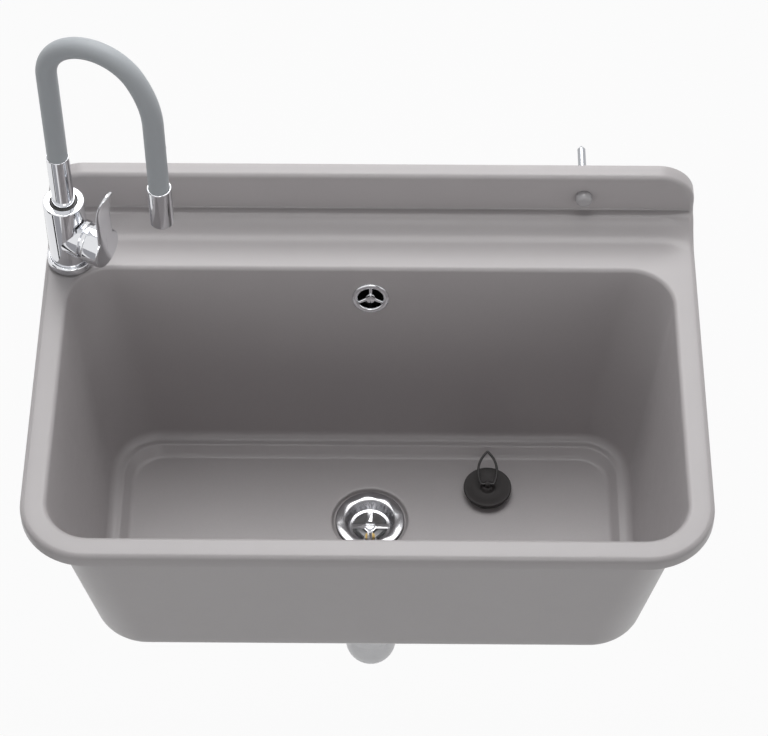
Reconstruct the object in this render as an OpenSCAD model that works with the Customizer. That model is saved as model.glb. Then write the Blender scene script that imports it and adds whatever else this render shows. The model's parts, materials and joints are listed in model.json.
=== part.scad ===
// Wall-hung utility laundry sink with its tap, waste trap, overflow, plug and wall fixings.
// Millimetres. +Z is up, the front of the sink looks along -Y, and the wall is the plane y = 0.
// The origin is the middle of the two wall screws, on the wall plane.

/* [Basin] */
// Width of the basin over its rim
basin_w = 640; // [600:1:700]
// Depth of the basin from the wall to the front of its rim
basin_d = 428; // [410:1:480]
// Thickness of the moulded shell
basin_wall = 5; // [4:0.5:6]
// Width of the rim beside the bowl
rim_side = 24; // [22:1:30]
// Width of the rim in front of the bowl
rim_front = 23; // [20:1:30]
// Outer corner radius of the rim
rim_corner_r = 64; // [50:1:75]
// Height of the turned-down lip of the rim
lip_h = 14; // [11:1:22]
// Distance from the wall to the back edge of the bowl
ledge_d = 82.5; // [80:0.5:92]
// Depth of the bowl from the rim to the margin of its floor
bowl_depth = 226; // [200:1:250]
// How far the front and back walls of the bowl lean in by the floor
lean_front = 35; // [28:1:40]
// How far the side walls of the bowl lean in by the floor
lean_side = 31; // [20:1:40]
// Corner radius of the bowl at the rim
bowl_corner_r = 42; // [36:1:46]
// Corner radius of the bowl at its floor
bowl_foot_r = 50; // [44:1:56]
// Fillet between the walls and the floor
bowl_fillet = 14; // [10:1:18]
// Drop of the sunken floor below its margin
floor_drop = 9; // [6:0.5:10]
// Width of the margin round the sunken floor
floor_margin = 12; // [8:1:18]
// Corner radius of the sunken floor
floor_corner_r = 24; // [18:1:30]

/* [Upstand] */
// Height of the upstand above the rim
panel_rise = 62; // [55:1:75]
// Depth of the upstand from the wall to its face
panel_d = 16; // [14:0.5:18]
// Top corner radius of the upstand
panel_corner_r = 38; // [28:1:44]
// Height of the step below the upstand's face
step_rise = 15.5; // [12:0.5:18]
// Radius of the cove between the step and the ledge
cove_r = 28; // [24:1:32]
// Distance from the wall to the toe of the cove
cove_toe = 50; // [49:0.5:53]
// Length of the soft ramp that ends the cove at each side
cove_end_w = 32; // [20:1:45]

/* [Wall fixing] */
// Distance between the two wall screws
screw_pitch = 420; // [360:1:470]
// Height of the wall screws above the rim
screw_rise = 34; // [31:0.5:38]
// Diameter of the wall screws
screw_d = 8; // [6:0.5:9]
// Length of the wall screws behind the wall plane
screw_bite = 52; // [40:1:70]
// Diameter of the domed screw caps
screw_cap_d = 17; // [16:0.5:20]

/* [Bracket] */
// Distance between the bracket's two upright screws
bracket_pitch = 68; // [56:1:90]
// Distance from the wall to the upright screws
bracket_reach = 66; // [60:0.5:67]
// Height of the bracket
bracket_h = 12; // [10:0.5:13]
// Width of the bracket at the wall
bracket_tail_w = 30; // [24:1:40]
// Radius of the bosses round the upright screws
bracket_boss_r = 9; // [8:0.5:10]

/* [Waste] */
// Distance from the wall to the drain
drain_back = 217; // [205:1:235]
// Diameter of the strainer flange
flange_d = 70; // [66:1:76]
// Diameter of the drain hole in the bowl
drain_hole_d = 54; // [53:0.5:57]
// Outer diameter of the waste pipes
pipe_d = 40; // [38.5:0.1:40.6]
// Wall of the waste pipes
pipe_wall = 1.8; // [1.6:0.1:2.4]
// Depth of the overflow port below the floor of the bowl
port_drop = 27; // [27:0.2:28]
// Depth of the union nut below the floor of the bowl
nut_drop = 63; // [63:1:68]
// Depth of the appliance branch below the floor of the bowl
branch_drop = 94; // [92:1:105]
// Direction of the appliance branch
branch_turn = 225; // [190:1:260]
// Depth of the mouth of the trap below the floor of the bowl
trap_drop = 160; // [145:1:175]
// Distance between the inlet and the outlet of the trap
trap_span = 60; // [58:1:70]
// Depth of the bottom of the trap below the floor of the bowl
trap_bottom_drop = 250; // [246:1:270]
// Depth of the outlet pipe below the floor of the bowl
outlet_drop = 129; // [120:1:136]
// Bend radius of the outlet pipe
outlet_bend_r = 45; // [36:1:50]
// Length of the outlet stub behind the wall plane
stub_len = 40; // [25:1:60]
// Diameter of the wall flange
wall_flange_d = 72; // [64:1:90]

/* [Overflow] */
// Depth of the overflow below the rim, measured upright
overflow_drop = 38; // [37:0.5:44]
// Diameter of the overflow rosette
rosette_d = 37; // [35:0.5:40]
// Diameter of the overflow hole
overflow_hole_d = 28; // [27:0.5:30]
// Outer diameter of the corrugated hose over its ribs
hose_d = 30; // [28:0.5:31]
// Pitch of the ribs
rib_pitch = 7.5; // [6:0.5:10]
// Bend radius at the bottom of the hose
hose_bend_r = 34; // [30:1:40]

/* [Plug] */
// Top diameter of the plug
plug_d = 49; // [44:0.5:50]
// Height of the plug
plug_h = 10; // [8:0.5:12]
// Distance of the plug to the right of the drain
plug_x = 120; // [90:1:150]
// Distance from the wall to the plug
plug_back = 182; // [176:1:200]
// Length of the plug's pull loop
loop_len = 34; // [28:1:40]

/* [Tap] */
// Distance of the tap from the side of the basin
tap_inset = 25; // [24.6:0.1:26]
// Distance of the tap from the wall
tap_back = 72; // [71.6:0.1:73]
// Diameter of the tap's base ring
tap_base_d = 46; // [43:0.5:46]
// Diameter of the tap's body
tap_body_d = 40; // [38.8:0.2:41]
// Height of the tap's body above the rim
tap_body_h = 86; // [82:1:100]
// Height of the lever housing above the rim
housing_rise = 40; // [36:1:44]
// Direction of the lever housing
housing_turn = -28; // [-50:1:0]
// Diameter of the spout tube
spout_d = 22; // [21:0.1:22.6]
// Height of the spout tube's top above the rim
spout_tube_h = 149; // [140:1:165]
// Direction of the spout at rest
spout_turn = -20; // [-40:1:0]
// Reach of the spout
spout_reach = 104; // [103:1:120]
// Height at which the hose starts to bend, above the rim
hose_straight_h = 258; // [240:1:280]
// Bend radius of the rising half of the arch
arch_r = 48; // [45:0.5:50]
// Outer diameter of the soft hose cover
spout_hose_d = 19.8; // [18.6:0.1:20]
// Height of the lower end of the spout above the rim
outlet_rise = 98; // [94:1:110]
// Length of the metal sleeve at the spout's end
sleeve_len = 47; // [40:1:55]
// Height of the lever's tip above the housing's axis
lever_len = 80; // [70:1:86]
// Width of the lever
lever_w = 24; // [20:1:28]

/* [Hidden] */
$fn = 64;
overrun = 1;
mouth_chamfer = 2.5;
seat_gap = 0.05;
running_gap = 0.06;
hull_skin = 0.2;
hull_sides = 32;

// Heights of the basin
rim_z = -screw_rise;
margin_z = rim_z - bowl_depth;
floor_z = margin_z - floor_drop;
seat_sink = 4.5;
seat_clear = 2;
seat_z = floor_z - seat_sink;
under_z = seat_z - basin_wall;
drain_pad_r = flange_d / 2 + seat_clear + basin_wall + overrun;
bowl_half_w = basin_w / 2 - rim_side;
bowl_front = basin_d - rim_front;
lean_angle = atan(lean_front / bowl_depth);
fillet_steps = 4;

// Cove between the step and the ledge
cove_angle = acos(1 - step_rise / cove_r);
strip_end = cove_toe - cove_r * sin(cove_angle);
ramp_share = 0.25;
ramp_toe = cove_toe + cove_end_w * ramp_share;
ramp_steps = 8;
sink = 0.12;

// Screws
screw_boss_wall = 4.5;
screw_play = 0.5;
washer_t = 3.2;
cap_wall = 0.9;
cap_h = 9.5;
screw_shank_r = screw_d * 0.45;
screw_head_r = screw_d * 0.65;
screw_head_h = screw_d * 0.36;
short_screw_r = 2;
short_screw_bite = 3.8;
bracket_plate = 3;
bracket_wall = 3;
long_screw_r = 2.5;
long_screw_bite = 41;
long_screw_z = rim_z - basin_wall - bracket_h + (bracket_h - bracket_plate) / 2;

// Waste, from the flange down
gasket_t = 2.5;
plate_t = 1.2;
throat_depth = 10;
throat_r = drain_hole_d / 2 - 1;
grille_r = throat_r - 4;
grille_window_r = grille_r - 4.2;
spoke_w = 5;
hub_r = 6.5;
strainer_screw_r = 3;
plate_z = seat_z + gasket_t;
grille_z = plate_z - throat_depth;
body_top_z = under_z - gasket_t;
body_flange_t = 4;
thread_r = 23.9;
body_bore_r = grille_r + 1;
body_lower_bore_r = pipe_d / 2 - pipe_wall;
bridge_z = body_top_z - 17;
bridge_t = 5;
body_end_z = floor_z - nut_drop + 6;
port_z = floor_z - port_drop;
port_r = 14.5;
port_bore_r = 11;
port_len = 46;
union_r = 17;
union_len = 20;
union_back = 35;
nut_r = 30;
nut_h = 20.5;
nut_wall = 3;
pipe_r = pipe_d / 2;
pipe_in_r = pipe_r - pipe_wall;
collar_r = pipe_r + 2.2;
collar_t = 3;
tail_top_z = body_end_z - collar_t;
seal_t = collar_t - seat_gap;
socket_r = 27;
socket_depth = 28;
socket_lip = 1.5;
pipe_play = 0.3;
inlet_top_z = floor_z - trap_drop;
tail_insert = 44;
tail_end_z = inlet_top_z - tail_insert;
trap_wall = 3;
inlet_tube_r = pipe_r + pipe_play + trap_wall;
housing_r = 27;
trap_axis_z = floor_z - trap_bottom_drop + housing_r;
trap_in_y = -drain_back;
trap_out_y = trap_in_y + trap_span;
housing_tail = 36;
housing_end_y = trap_out_y + housing_tail;
outlet_socket_h = 10;
outlet_socket_top_z = trap_axis_z + housing_r + outlet_socket_h;
outlet_z = floor_z - outlet_drop;
outlet_insert = 22;
outlet_start_z = outlet_socket_top_z - outlet_insert;
depth_mark = 0.5;
depth_mark_w = 1;
cleanout_r = 29;
cleanout_len = 16;
cleanout_overlap = 10;
branch_z = floor_z - branch_drop;
branch_r = 11.5;
branch_in_r = 9.5;
branch_len = 50;
branch_cap_r = 13.2;
branch_cap_len = 16;
branch_cap_grip = 12;
branch_cap_nose = 6;
wall_flange_len = 22;
wall_flange_wall = 2;

// Overflow, in a frame that leans with the back wall of the bowl
overflow_y = -ledge_d - overflow_drop * tan(lean_angle);
overflow_z = rim_z - overflow_drop;
wall_normal_t = basin_wall * cos(lean_angle);
rosette_t = 1.6;
rosette_bore_r = overflow_hole_d / 2 - 1.3;
rosette_throat = 7;
overflow_gasket_t = 3;
elbow_back = wall_normal_t + overflow_gasket_t + hose_d / 2;
elbow_r = 18;
elbow_wall = 2.2;
elbow_front = wall_normal_t + overflow_gasket_t;
elbow_depth = 2 * (elbow_back - elbow_front);
spigot_r = 12.5;
spigot_len = 46;
sleeve_top = 34;
sleeve_end = 68;
hose_core_r = hose_d / 2 - 1.9;
hose_bore_r = hose_core_r - 1.3;
hose_sides = 8;
hose_run = hose_d;
hose_ease_r = 150;
hose_start_y = overflow_y + elbow_back * cos(lean_angle) - sleeve_end * sin(lean_angle);
hose_start_z = overflow_z - elbow_back * sin(lean_angle) - sleeve_end * cos(lean_angle);
ease_start_y = hose_start_y - hose_run * sin(lean_angle);
ease_start_z = hose_start_z - hose_run * cos(lean_angle);
ease_end_y = ease_start_y - hose_ease_r * (1 - cos(lean_angle));
ease_end_z = ease_start_z - hose_ease_r * sin(lean_angle);
bend_start_z = port_z + hose_bend_r;
hose_end_y = ease_end_y - hose_bend_r - hose_run;
union_end_y = -drain_back + union_back + union_len;
cuff_r = 12.8;

// Plug
plug_taper = 3.5;
ear_w = 5;
ear_h = 8;
ear_hole_r = 1.9;
loop_wire_r = 1.3;
loop_bar = 13;
loop_bulge = 6;
loop_lean = 66;
plug_edge = 2;
ear_z = floor_z + plug_h + ear_h - ear_hole_r - 1.6;

// Tap
tap_x = -basin_w / 2 + tap_inset;
tap_y = -tap_back;
tap_gasket_t = 1.5;
tap_gasket_inset = 3;
tap_ring_top = 10;
tap_foot = 3;
shank_r = 12.9;
tap_hole_r = 13.5;
shank_bore_r = 9.5;
shank_len = 46;
inlet_r = 4.2;
inlet_spread = 4.9;
inlet_depth = 13;
tap_nut_r = 18.2;
tap_washer_r = 17.6;
tap_washer_t = 3;
tap_nut_h = 8;
housing_end = 22.5;
housing_outer_r = tap_body_d / 2 - 0.6;
cartridge_bore_r = housing_outer_r - 2.2;
cartridge_start = 5.5;
cartridge_r = cartridge_bore_r - seat_gap;
inlet_clear = 0.3;
shank_top = housing_rise - cartridge_bore_r - inlet_clear - inlet_depth;
lever_pivot = 22;
rotor_r = 11.8;
rotor_back = 13;
rotor_front = 17;
rotor_ear = 4;
pin_r = 1.5;
stem_half = 3.5;
dome_mouth_r = 9.6;
dome_nose = 31;
dome_nose_r = 13;
lever_gap = 5.4;
lever_cap_r = 20;
lever_cap_bore_r = 18;
lever_cap_start = housing_end + lever_gap;
lever_cap_end = 46;
lever_cap_floor = 36;
lever_t = 3;
lever_straight = 42;
lever_curl_r = 90;
lever_screw_r = 2;
spout_r = spout_d / 2;
spout_bore_r = spout_hose_d / 2 + 0.2;
bush_r = 13.4;
clip_room = 4;
clip_t = 2;
clip_drop = 2.5;
spout_clear = 4.8;
spout_foot = housing_rise + cartridge_bore_r + spout_clear;
bush_len = tap_body_h - spout_foot - clip_room;
liner_r = 6;
liner_bore_r = 4.5;
liner_play = 0.2;
hose_in = 12;
arch_r2 = spout_reach - arch_r;
arch_end_h = hose_straight_h + arch_r - arch_r2;
sleeve_r = 11.6;
sleeve_bore_r = spout_bore_r;
aerator_len = 10;
aerator_r = sleeve_bore_r - seat_gap;

// Shapes that several pieces share

// Tube along +Z
module tube(r_out, r_in, h) {
    difference() {
        cylinder(r = r_out, h = h);
        translate([0, 0, -overrun])
            cylinder(r = r_in, h = h + 2 * overrun);
    }
}

// Section of a turned-over edge: a leg of height h with a rolled outer corner
module turned_edge(h) {
    translate([-basin_wall, 0])
        square([basin_wall, h - basin_wall]);
    intersection() {
        translate([-basin_wall, h - basin_wall])
            circle(r = basin_wall);
        translate([-basin_wall, h - basin_wall])
            square(basin_wall);
    }
}

// Both sides of the mirror plane x = 0
module both_sides() {
    children();
    mirror([1, 0, 0])
        children();
}

// Frame of the overflow: +Y runs out through the back wall, -Z runs down along it
module at_overflow() {
    translate([0, overflow_y, overflow_z])
        rotate([-lean_angle, 0, 0])
            children();
}

// Turns a shape that stands on +Z so that it lies along +Y
module along_y() {
    rotate([-90, 0, 0])
        children();
}

// Frame of the drain, with its axis on Z
module at_drain() {
    translate([0, -drain_back, 0])
        children();
}

// Frame of the tap on the ledge
module at_tap() {
    translate([tap_x, tap_y, rim_z])
        children();
}

// Frame of the lever housing: +Z runs out along the housing
module at_housing() {
    at_tap()
        translate([0, 0, housing_rise])
            rotate([0, 0, housing_turn])
                rotate([0, 90, 0])
                    children();
}

// Frame of the spout: +X runs towards the outlet
module at_spout() {
    at_tap()
        rotate([0, 0, spout_turn])
            children();
}

// Four round corners of the bowl at one depth, set in from the walls
module bowl_level(depth, inset, grow) {
    share = depth / bowl_depth;
    r = bowl_corner_r + (bowl_foot_r - bowl_corner_r) * share - inset + grow;
    half_w = bowl_half_w - lean_side * share - inset + grow;
    back = -ledge_d - lean_front * share - inset + grow;
    front = -bowl_front + lean_front * share + inset - grow;
    for (x = [-half_w + r, half_w - r])
        for (y = [back - r, front + r])
            translate([x, y, rim_z - depth])
                cylinder(r = r, h = hull_skin, $fn = hull_sides);
}

// Leaning bowl with a filleted foot, grown outwards and downwards by one wall for its outside
module bowl_form(grow, top) {
    fillet = bowl_fillet + grow;
    hull() {
        bowl_level(top, 0, grow);
        for (i = [0:fillet_steps]) {
            a = 90 * i / fillet_steps;
            bowl_level(bowl_depth + grow - fillet * (1 - sin(a)), fillet * (1 - cos(a)), grow);
        }
    }
}

// One level of the sunken floor
module floor_level(depth, inset) {
    half_w = bowl_half_w - lean_side - floor_margin - inset;
    back = -ledge_d - lean_front - floor_margin - inset;
    front = -bowl_front + lean_front + floor_margin + inset;
    r = floor_corner_r - inset / 2;
    for (x = [-half_w + r, half_w - r])
        for (y = [back - r, front + r])
            translate([x, y, rim_z - depth])
                cylinder(r = r, h = hull_skin, $fn = hull_sides);
}

// Sunken floor with sloping risers
module floor_form(grow) {
    hull() {
        floor_level(bowl_depth - overrun, -overrun - grow);
        floor_level(bowl_depth + floor_drop + grow, floor_drop - grow);
    }
}

// Outline of the rim seen from above, from the toe of the cove to the front
module rim_outline(inset) {
    half = basin_w / 2;
    r = rim_corner_r;
    translate([-half + inset, -basin_d + r])
        square([basin_w - 2 * inset, basin_d - r - cove_toe]);
    translate([-half + r, -basin_d + inset])
        square([basin_w - 2 * r, r - inset]);
    for (x = [-half + r, half - r])
        translate([x, -basin_d + r])
            circle(r = r - inset);
}

// Turned-down lip round the rim
module rim_lip() {
    half = basin_w / 2;
    r = rim_corner_r;
    foot_z = rim_z - lip_h;
    both_sides() {
        translate([half, 0, foot_z])
            rotate([90, 0, 0])
                linear_extrude(basin_d - r)
                    turned_edge(lip_h);
        translate([half - r, -basin_d + r, foot_z])
            rotate([0, 0, -90])
                rotate_extrude(angle = 90)
                    translate([r, 0])
                        turned_edge(lip_h);
    }
    translate([-half + r, -basin_d, foot_z])
        mirror([0, 1, 0])
            rotate([90, 0, 90])
                linear_extrude(basin_w - 2 * r)
                    turned_edge(lip_h);
}

// Outline of the upstand seen from the front
module panel_outline(inset) {
    half = basin_w / 2;
    r = panel_corner_r;
    low = rim_z + step_rise - basin_wall;
    high = rim_z + panel_rise;
    translate([-half + inset, low])
        square([basin_w - 2 * inset, high - r - low]);
    translate([-half + r, low])
        square([basin_w - 2 * r, high - inset - low]);
    for (x = [-half + r, half - r])
        translate([x, high - r])
            circle(r = r - inset);
}

// Upstand: its face and the edge that turns back to the wall
module panel() {
    half = basin_w / 2;
    r = panel_corner_r;
    high = rim_z + panel_rise;
    translate([0, basin_wall - panel_d, 0])
        rotate([90, 0, 0])
            linear_extrude(basin_wall)
                panel_outline(basin_wall);
    both_sides() {
        translate([half, 0, rim_z - lip_h])
            linear_extrude(panel_rise + lip_h - r)
                mirror([0, 1])
                    turned_edge(panel_d);
        translate([half - r, 0, high - r])
            rotate([90, 0, 0])
                rotate_extrude(angle = 90)
                    translate([r, 0])
                        turned_edge(panel_d);
    }
    translate([-half + r, 0, high])
        rotate([180, 0, 0])
            rotate([0, 90, 0])
                linear_extrude(basin_w - 2 * r)
                    turned_edge(panel_d);
}

// Section of the cove: distance from the wall, height above the rim
module cove_section() {
    intersection() {
        difference() {
            translate([cove_toe, cove_r])
                circle(r = cove_r + basin_wall);
            translate([cove_toe, cove_r])
                circle(r = cove_r);
        }
        translate([0, -basin_wall])
            square([cove_toe, step_rise + basin_wall]);
    }
}

// Points of the cove's arc and of the soft ramp at its end, as distance and height
function cove_point(t, out) = [
    cove_toe - (cove_r + out) * sin(cove_angle * t),
    cove_r - (cove_r + out) * cos(cove_angle * t)
];
function ramp_point(t, out) = [
    ramp_toe + (strip_end - ramp_toe) * t - out * t,
    step_rise * t * t - out
];

// Solid between the end of the cove and the side of the upstand, sunk by a hair at its edges
module cove_end() {
    x_in = basin_w / 2 - cove_end_w - overrun;
    x_out = basin_w / 2 - basin_wall / 2;
    under = basin_wall - sink;
    rows = [for (i = [0:ramp_steps + 1]) [min(i, ramp_steps) / ramp_steps, i > ramp_steps ? -2 * overrun : 0]];
    points = [
        for (q = rows) let (t = q[0], back = q[1]) each [
            [x_in, -cove_point(t, sink)[0] - back, rim_z + cove_point(t, sink)[1]],
            [x_out, -ramp_point(t, sink)[0] - back, rim_z + ramp_point(t, sink)[1]],
            [x_out, -ramp_point(t, under)[0] - back, rim_z + ramp_point(t, under)[1]],
            [x_in, -cove_point(t, under)[0] - back, rim_z + cove_point(t, under)[1]]
        ]
    ];
    last = 4 * (ramp_steps + 1);
    faces = [
        [0, 1, 2],
        [0, 2, 3],
        for (i = [0:ramp_steps], j = [0:3])
            each let (a = 4 * i + j, b = 4 * i + (j + 1) % 4) [
                [a, a + 4, b + 4],
                [a, b + 4, b]
            ],
        [last, last + 2, last + 1],
        [last, last + 3, last + 2]
    ];
    polyhedron(points = points, faces = faces, convexity = 4);
}

// Side wall that closes the cove and the ramp
module cove_side() {
    rows = [for (i = [0:ramp_steps]) i / ramp_steps];
    translate([basin_w / 2 - basin_wall, 0, rim_z])
        mirror([0, 1, 0])
            rotate([90, 0, 90])
                linear_extrude(basin_wall)
                    polygon([
                        [panel_d - basin_wall, -basin_wall],
                        [ramp_toe, -basin_wall],
                        for (t = rows) ramp_point(t, 0),
                        [panel_d - basin_wall, step_rise]
                    ]);
}

// Moulded basin in one piece
module basin() {
    color("#a8a4a5")
    difference() {
        union() {
            translate([0, 0, rim_z - basin_wall])
                linear_extrude(basin_wall)
                    rim_outline(basin_wall);
            rim_lip();
            panel();
            translate([-basin_w / 2 + cove_end_w, 0, rim_z])
                mirror([0, 1, 0])
                    rotate([90, 0, 90])
                        linear_extrude(basin_w - 2 * cove_end_w)
                            cove_section();
            translate([basin_wall / 2 - basin_w / 2, -strip_end, rim_z + step_rise - basin_wall])
                cube([basin_w - basin_wall, strip_end - panel_d + basin_wall, basin_wall]);
            both_sides() {
                cove_end();
                cove_side();
                translate([screw_pitch / 2, basin_wall - panel_d, 0])
                    along_y()
                        cylinder(r = screw_d / 2 + screw_boss_wall, h = panel_d - basin_wall);
            }
            bowl_form(basin_wall, basin_wall / 2);
            floor_form(basin_wall);
            translate([0, 0, under_z])
                at_drain()
                    cylinder(r = drain_pad_r, h = seat_sink + basin_wall);
        }
        bowl_form(0, -overrun);
        hull() {
            bowl_level(2 * mouth_chamfer, mouth_chamfer, 0);
            bowl_level(-overrun, -overrun - mouth_chamfer, 0);
        }
        floor_form(0);
        at_drain() {
            translate([0, 0, seat_z])
                cylinder(r = flange_d / 2 + seat_clear, h = seat_sink + overrun);
            translate([0, 0, under_z - overrun])
                cylinder(r = drain_hole_d / 2, h = basin_wall + 2 * overrun);
        }
        both_sides()
            translate([screw_pitch / 2, -panel_d - overrun, 0])
                along_y()
                    cylinder(r = screw_d / 2 + screw_play, h = panel_d + 2 * overrun);
        at_overflow()
            translate([0, -basin_wall, 0])
                along_y()
                    cylinder(r = overflow_hole_d / 2, h = 3 * basin_wall);
        at_tap()
            translate([0, 0, -basin_wall - overrun])
                cylinder(r = tap_hole_r, h = basin_wall + 2 * overrun);
        both_sides()
            translate([bracket_pitch / 2, -bracket_reach, rim_z - basin_wall - overrun])
                cylinder(r = short_screw_r + seat_gap, h = short_screw_bite + overrun + seat_gap);
    }
}

// Places a piece at both wall screws, with +Z running into the wall
module at_wall_screws(y) {
    for (x = [-screw_pitch / 2, screw_pitch / 2])
        translate([x, y, 0])
            along_y()
                children();
}

module wall_screws() {
    color("#b9bcc0")
    at_wall_screws(-panel_d - washer_t) {
        translate([0, 0, -screw_head_h])
            cylinder(r = screw_head_r, h = screw_head_h);
        cylinder(r = screw_shank_r, h = panel_d + washer_t);
        translate([0, 0, panel_d + washer_t])
            cylinder(r = screw_d / 2, h = screw_bite);
    }
}

module screw_washers() {
    color("#d9d9da")
    at_wall_screws(-panel_d - washer_t)
        tube(screw_cap_d / 2 - cap_wall - seat_gap, screw_d / 2 + seat_gap, washer_t);
}

// Solid under a dome of height h that stands on a rim of radius r
module dome(r, h, bend_r) {
    cylinder(r = r, h = h / 2);
    intersection() {
        translate([0, 0, h - bend_r])
            sphere(r = bend_r);
        translate([0, 0, h / 2])
            cylinder(r = r, h = h);
    }
}

module screw_caps() {
    r = screw_cap_d / 2;
    bend_r = (r * r + cap_h * cap_h / 4) / cap_h;
    color("#c4c4c7")
    at_wall_screws(-panel_d)
        mirror([0, 0, 1])
            difference() {
                dome(r, cap_h, bend_r);
                translate([0, 0, -overrun])
                    cylinder(r = r - cap_wall, h = washer_t + overrun);
                intersection() {
                    translate([0, 0, cap_h - bend_r])
                        sphere(r = bend_r - cap_wall);
                    translate([0, 0, washer_t / 2])
                        cylinder(r = r - cap_wall, h = cap_h);
                }
            }
}

// Outline of the bracket seen from above, drawn smaller by the inset
module bracket_outline(inset) {
    half = bracket_pitch / 2;
    tail = bracket_tail_w / 2 - inset;
    side = half + bracket_boss_r - 1.3 * inset;
    shoulder = -bracket_reach + bracket_boss_r / 3;
    front = -bracket_reach - bracket_boss_r + inset;
    polygon([
        [-tail, -inset],
        [tail, -inset],
        [side, shoulder],
        [half, front],
        [-half, front],
        [-side, shoulder]
    ]);
}

module bracket() {
    top = rim_z - basin_wall;
    foot = top - bracket_h;
    color("#ececed")
    difference() {
        union() {
            difference() {
                translate([0, 0, foot])
                    linear_extrude(bracket_h)
                        bracket_outline(0);
                translate([0, 0, foot - overrun])
                    linear_extrude(bracket_h - bracket_plate + overrun)
                        bracket_outline(bracket_wall);
            }
            both_sides()
                translate([bracket_pitch / 2, -bracket_reach, foot])
                    cylinder(r = bracket_boss_r, h = bracket_h);
        }
        both_sides()
            translate([bracket_pitch / 2, -bracket_reach, foot - overrun]) {
                cylinder(r = short_screw_r + seat_gap, h = bracket_h + 2 * overrun);
                cylinder(r = 2 * short_screw_r + seat_gap, h = bracket_h / 2 + overrun);
            }
        translate([0, -bracket_wall - overrun, long_screw_z])
            along_y()
                cylinder(r = long_screw_r + seat_gap, h = bracket_wall + 2 * overrun);
    }
}

module bracket_screws() {
    top = rim_z - basin_wall;
    head_h = 1.5 * short_screw_r;
    color("#8d8f93")
    both_sides()
        translate([bracket_pitch / 2, -bracket_reach, top - bracket_h / 2 - head_h]) {
            cylinder(r = 2 * short_screw_r - seat_gap, h = head_h);
            cylinder(r = short_screw_r, h = head_h + bracket_h / 2 + short_screw_bite);
        }
}

module bracket_wall_screw() {
    head_h = 1.2 * long_screw_r;
    color("#8d8f93")
    translate([0, -bracket_wall - head_h, long_screw_z])
        along_y() {
            cylinder(r = 1.6 * long_screw_r, h = head_h);
            cylinder(r = long_screw_r, h = head_h + bracket_wall + long_screw_bite);
        }
}

// Cross grille in the drain, dished below its flange
module strainer_plate() {
    color("#b4b5b8")
    at_drain()
        translate([0, 0, plate_z])
            difference() {
                rotate_extrude()
                    polygon([
                        [0, -throat_depth],
                        [grille_r - plate_t, -throat_depth],
                        [throat_r - plate_t, plate_t / 2],
                        [throat_r, plate_t],
                        [flange_d / 2 - plate_t, plate_t],
                        [flange_d / 2, plate_t / 2],
                        [flange_d / 2, 0],
                        [throat_r, 0],
                        [grille_r, -throat_depth - plate_t],
                        [0, -throat_depth - plate_t]
                    ]);
                translate([0, 0, -throat_depth - plate_t - overrun])
                    difference() {
                        cylinder(r = grille_window_r, h = plate_t + 2 * overrun);
                        translate([0, 0, -overrun]) {
                            cylinder(r = hub_r, h = plate_t + 4 * overrun);
                            for (turn = [0, 90])
                                rotate([0, 0, turn])
                                    translate([-grille_r, -spoke_w / 2, 0])
                                        cube([2 * grille_r, spoke_w, plate_t + 4 * overrun]);
                        }
                    }
                translate([0, 0, -throat_depth - plate_t - overrun])
                    cylinder(r = strainer_screw_r + seat_gap, h = plate_t + 2 * overrun);
            }
}

module strainer_screw() {
    head_r = hub_r - overrun;
    head_h = 2.4;
    color("#c9cace")
    at_drain()
        difference() {
            union() {
                translate([0, 0, grille_z])
                    cylinder(r1 = head_r, r2 = head_r * 0.8, h = head_h);
                translate([0, 0, bridge_z - bridge_t - strainer_screw_r])
                    cylinder(r = strainer_screw_r, h = grille_z - bridge_z + bridge_t + strainer_screw_r);
            }
            translate([-head_r, -head_h / 4, grille_z + head_h / 2])
                cube([2 * head_r, head_h / 2, head_h]);
        }
}

module upper_gasket() {
    color("#2b2a2b")
    at_drain()
        translate([0, 0, seat_z])
            tube(flange_d / 2, drain_hole_d / 2, gasket_t);
}

module lower_gasket() {
    color("#2b2a2b")
    at_drain()
        translate([0, 0, body_top_z])
            tube(thread_r + 8, drain_hole_d / 2, gasket_t);
}

// White cup under the drain with its overflow port
module waste_body() {
    color("#eeeeef")
    at_drain()
        difference() {
            union() {
                translate([0, 0, body_end_z])
                    cylinder(r = thread_r, h = body_top_z - body_end_z);
                translate([0, 0, body_top_z - body_flange_t])
                    cylinder(r = thread_r + 8, h = body_flange_t);
                translate([0, 0, port_z])
                    along_y()
                        cylinder(r = port_r, h = port_len);
            }
            difference() {
                union() {
                    translate([0, 0, bridge_z - bridge_t])
                        cylinder(r = body_bore_r - 2, h = body_top_z - bridge_z + bridge_t + overrun);
                    translate([0, 0, grille_z - plate_t - overrun])
                        cylinder(r = body_bore_r, h = throat_depth + overrun);
                    translate([0, 0, body_end_z - overrun])
                        cylinder(r = body_lower_bore_r, h = bridge_z - body_end_z);
                    translate([0, 0, port_z])
                        along_y()
                            cylinder(r = port_bore_r, h = port_len + overrun);
                }
                translate([0, 0, bridge_z - bridge_t]) {
                    cylinder(r = hub_r, h = bridge_t);
                    for (turn = [45:90:315])
                        rotate([0, 0, turn])
                            translate([hub_r - overrun, -spoke_w / 2, 0])
                                cube([thread_r - hub_r + overrun, spoke_w, bridge_t]);
                }
            }
            translate([0, 0, bridge_z - bridge_t - overrun])
                cylinder(r = hub_r - 1.5, h = bridge_t + 2 * overrun);
        }
}

module bridge_insert() {
    color("#b59a5a")
    at_drain()
        translate([0, 0, bridge_z - bridge_t])
            tube(hub_r - 1.5 - seat_gap, strainer_screw_r + seat_gap, bridge_t);
}

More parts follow.
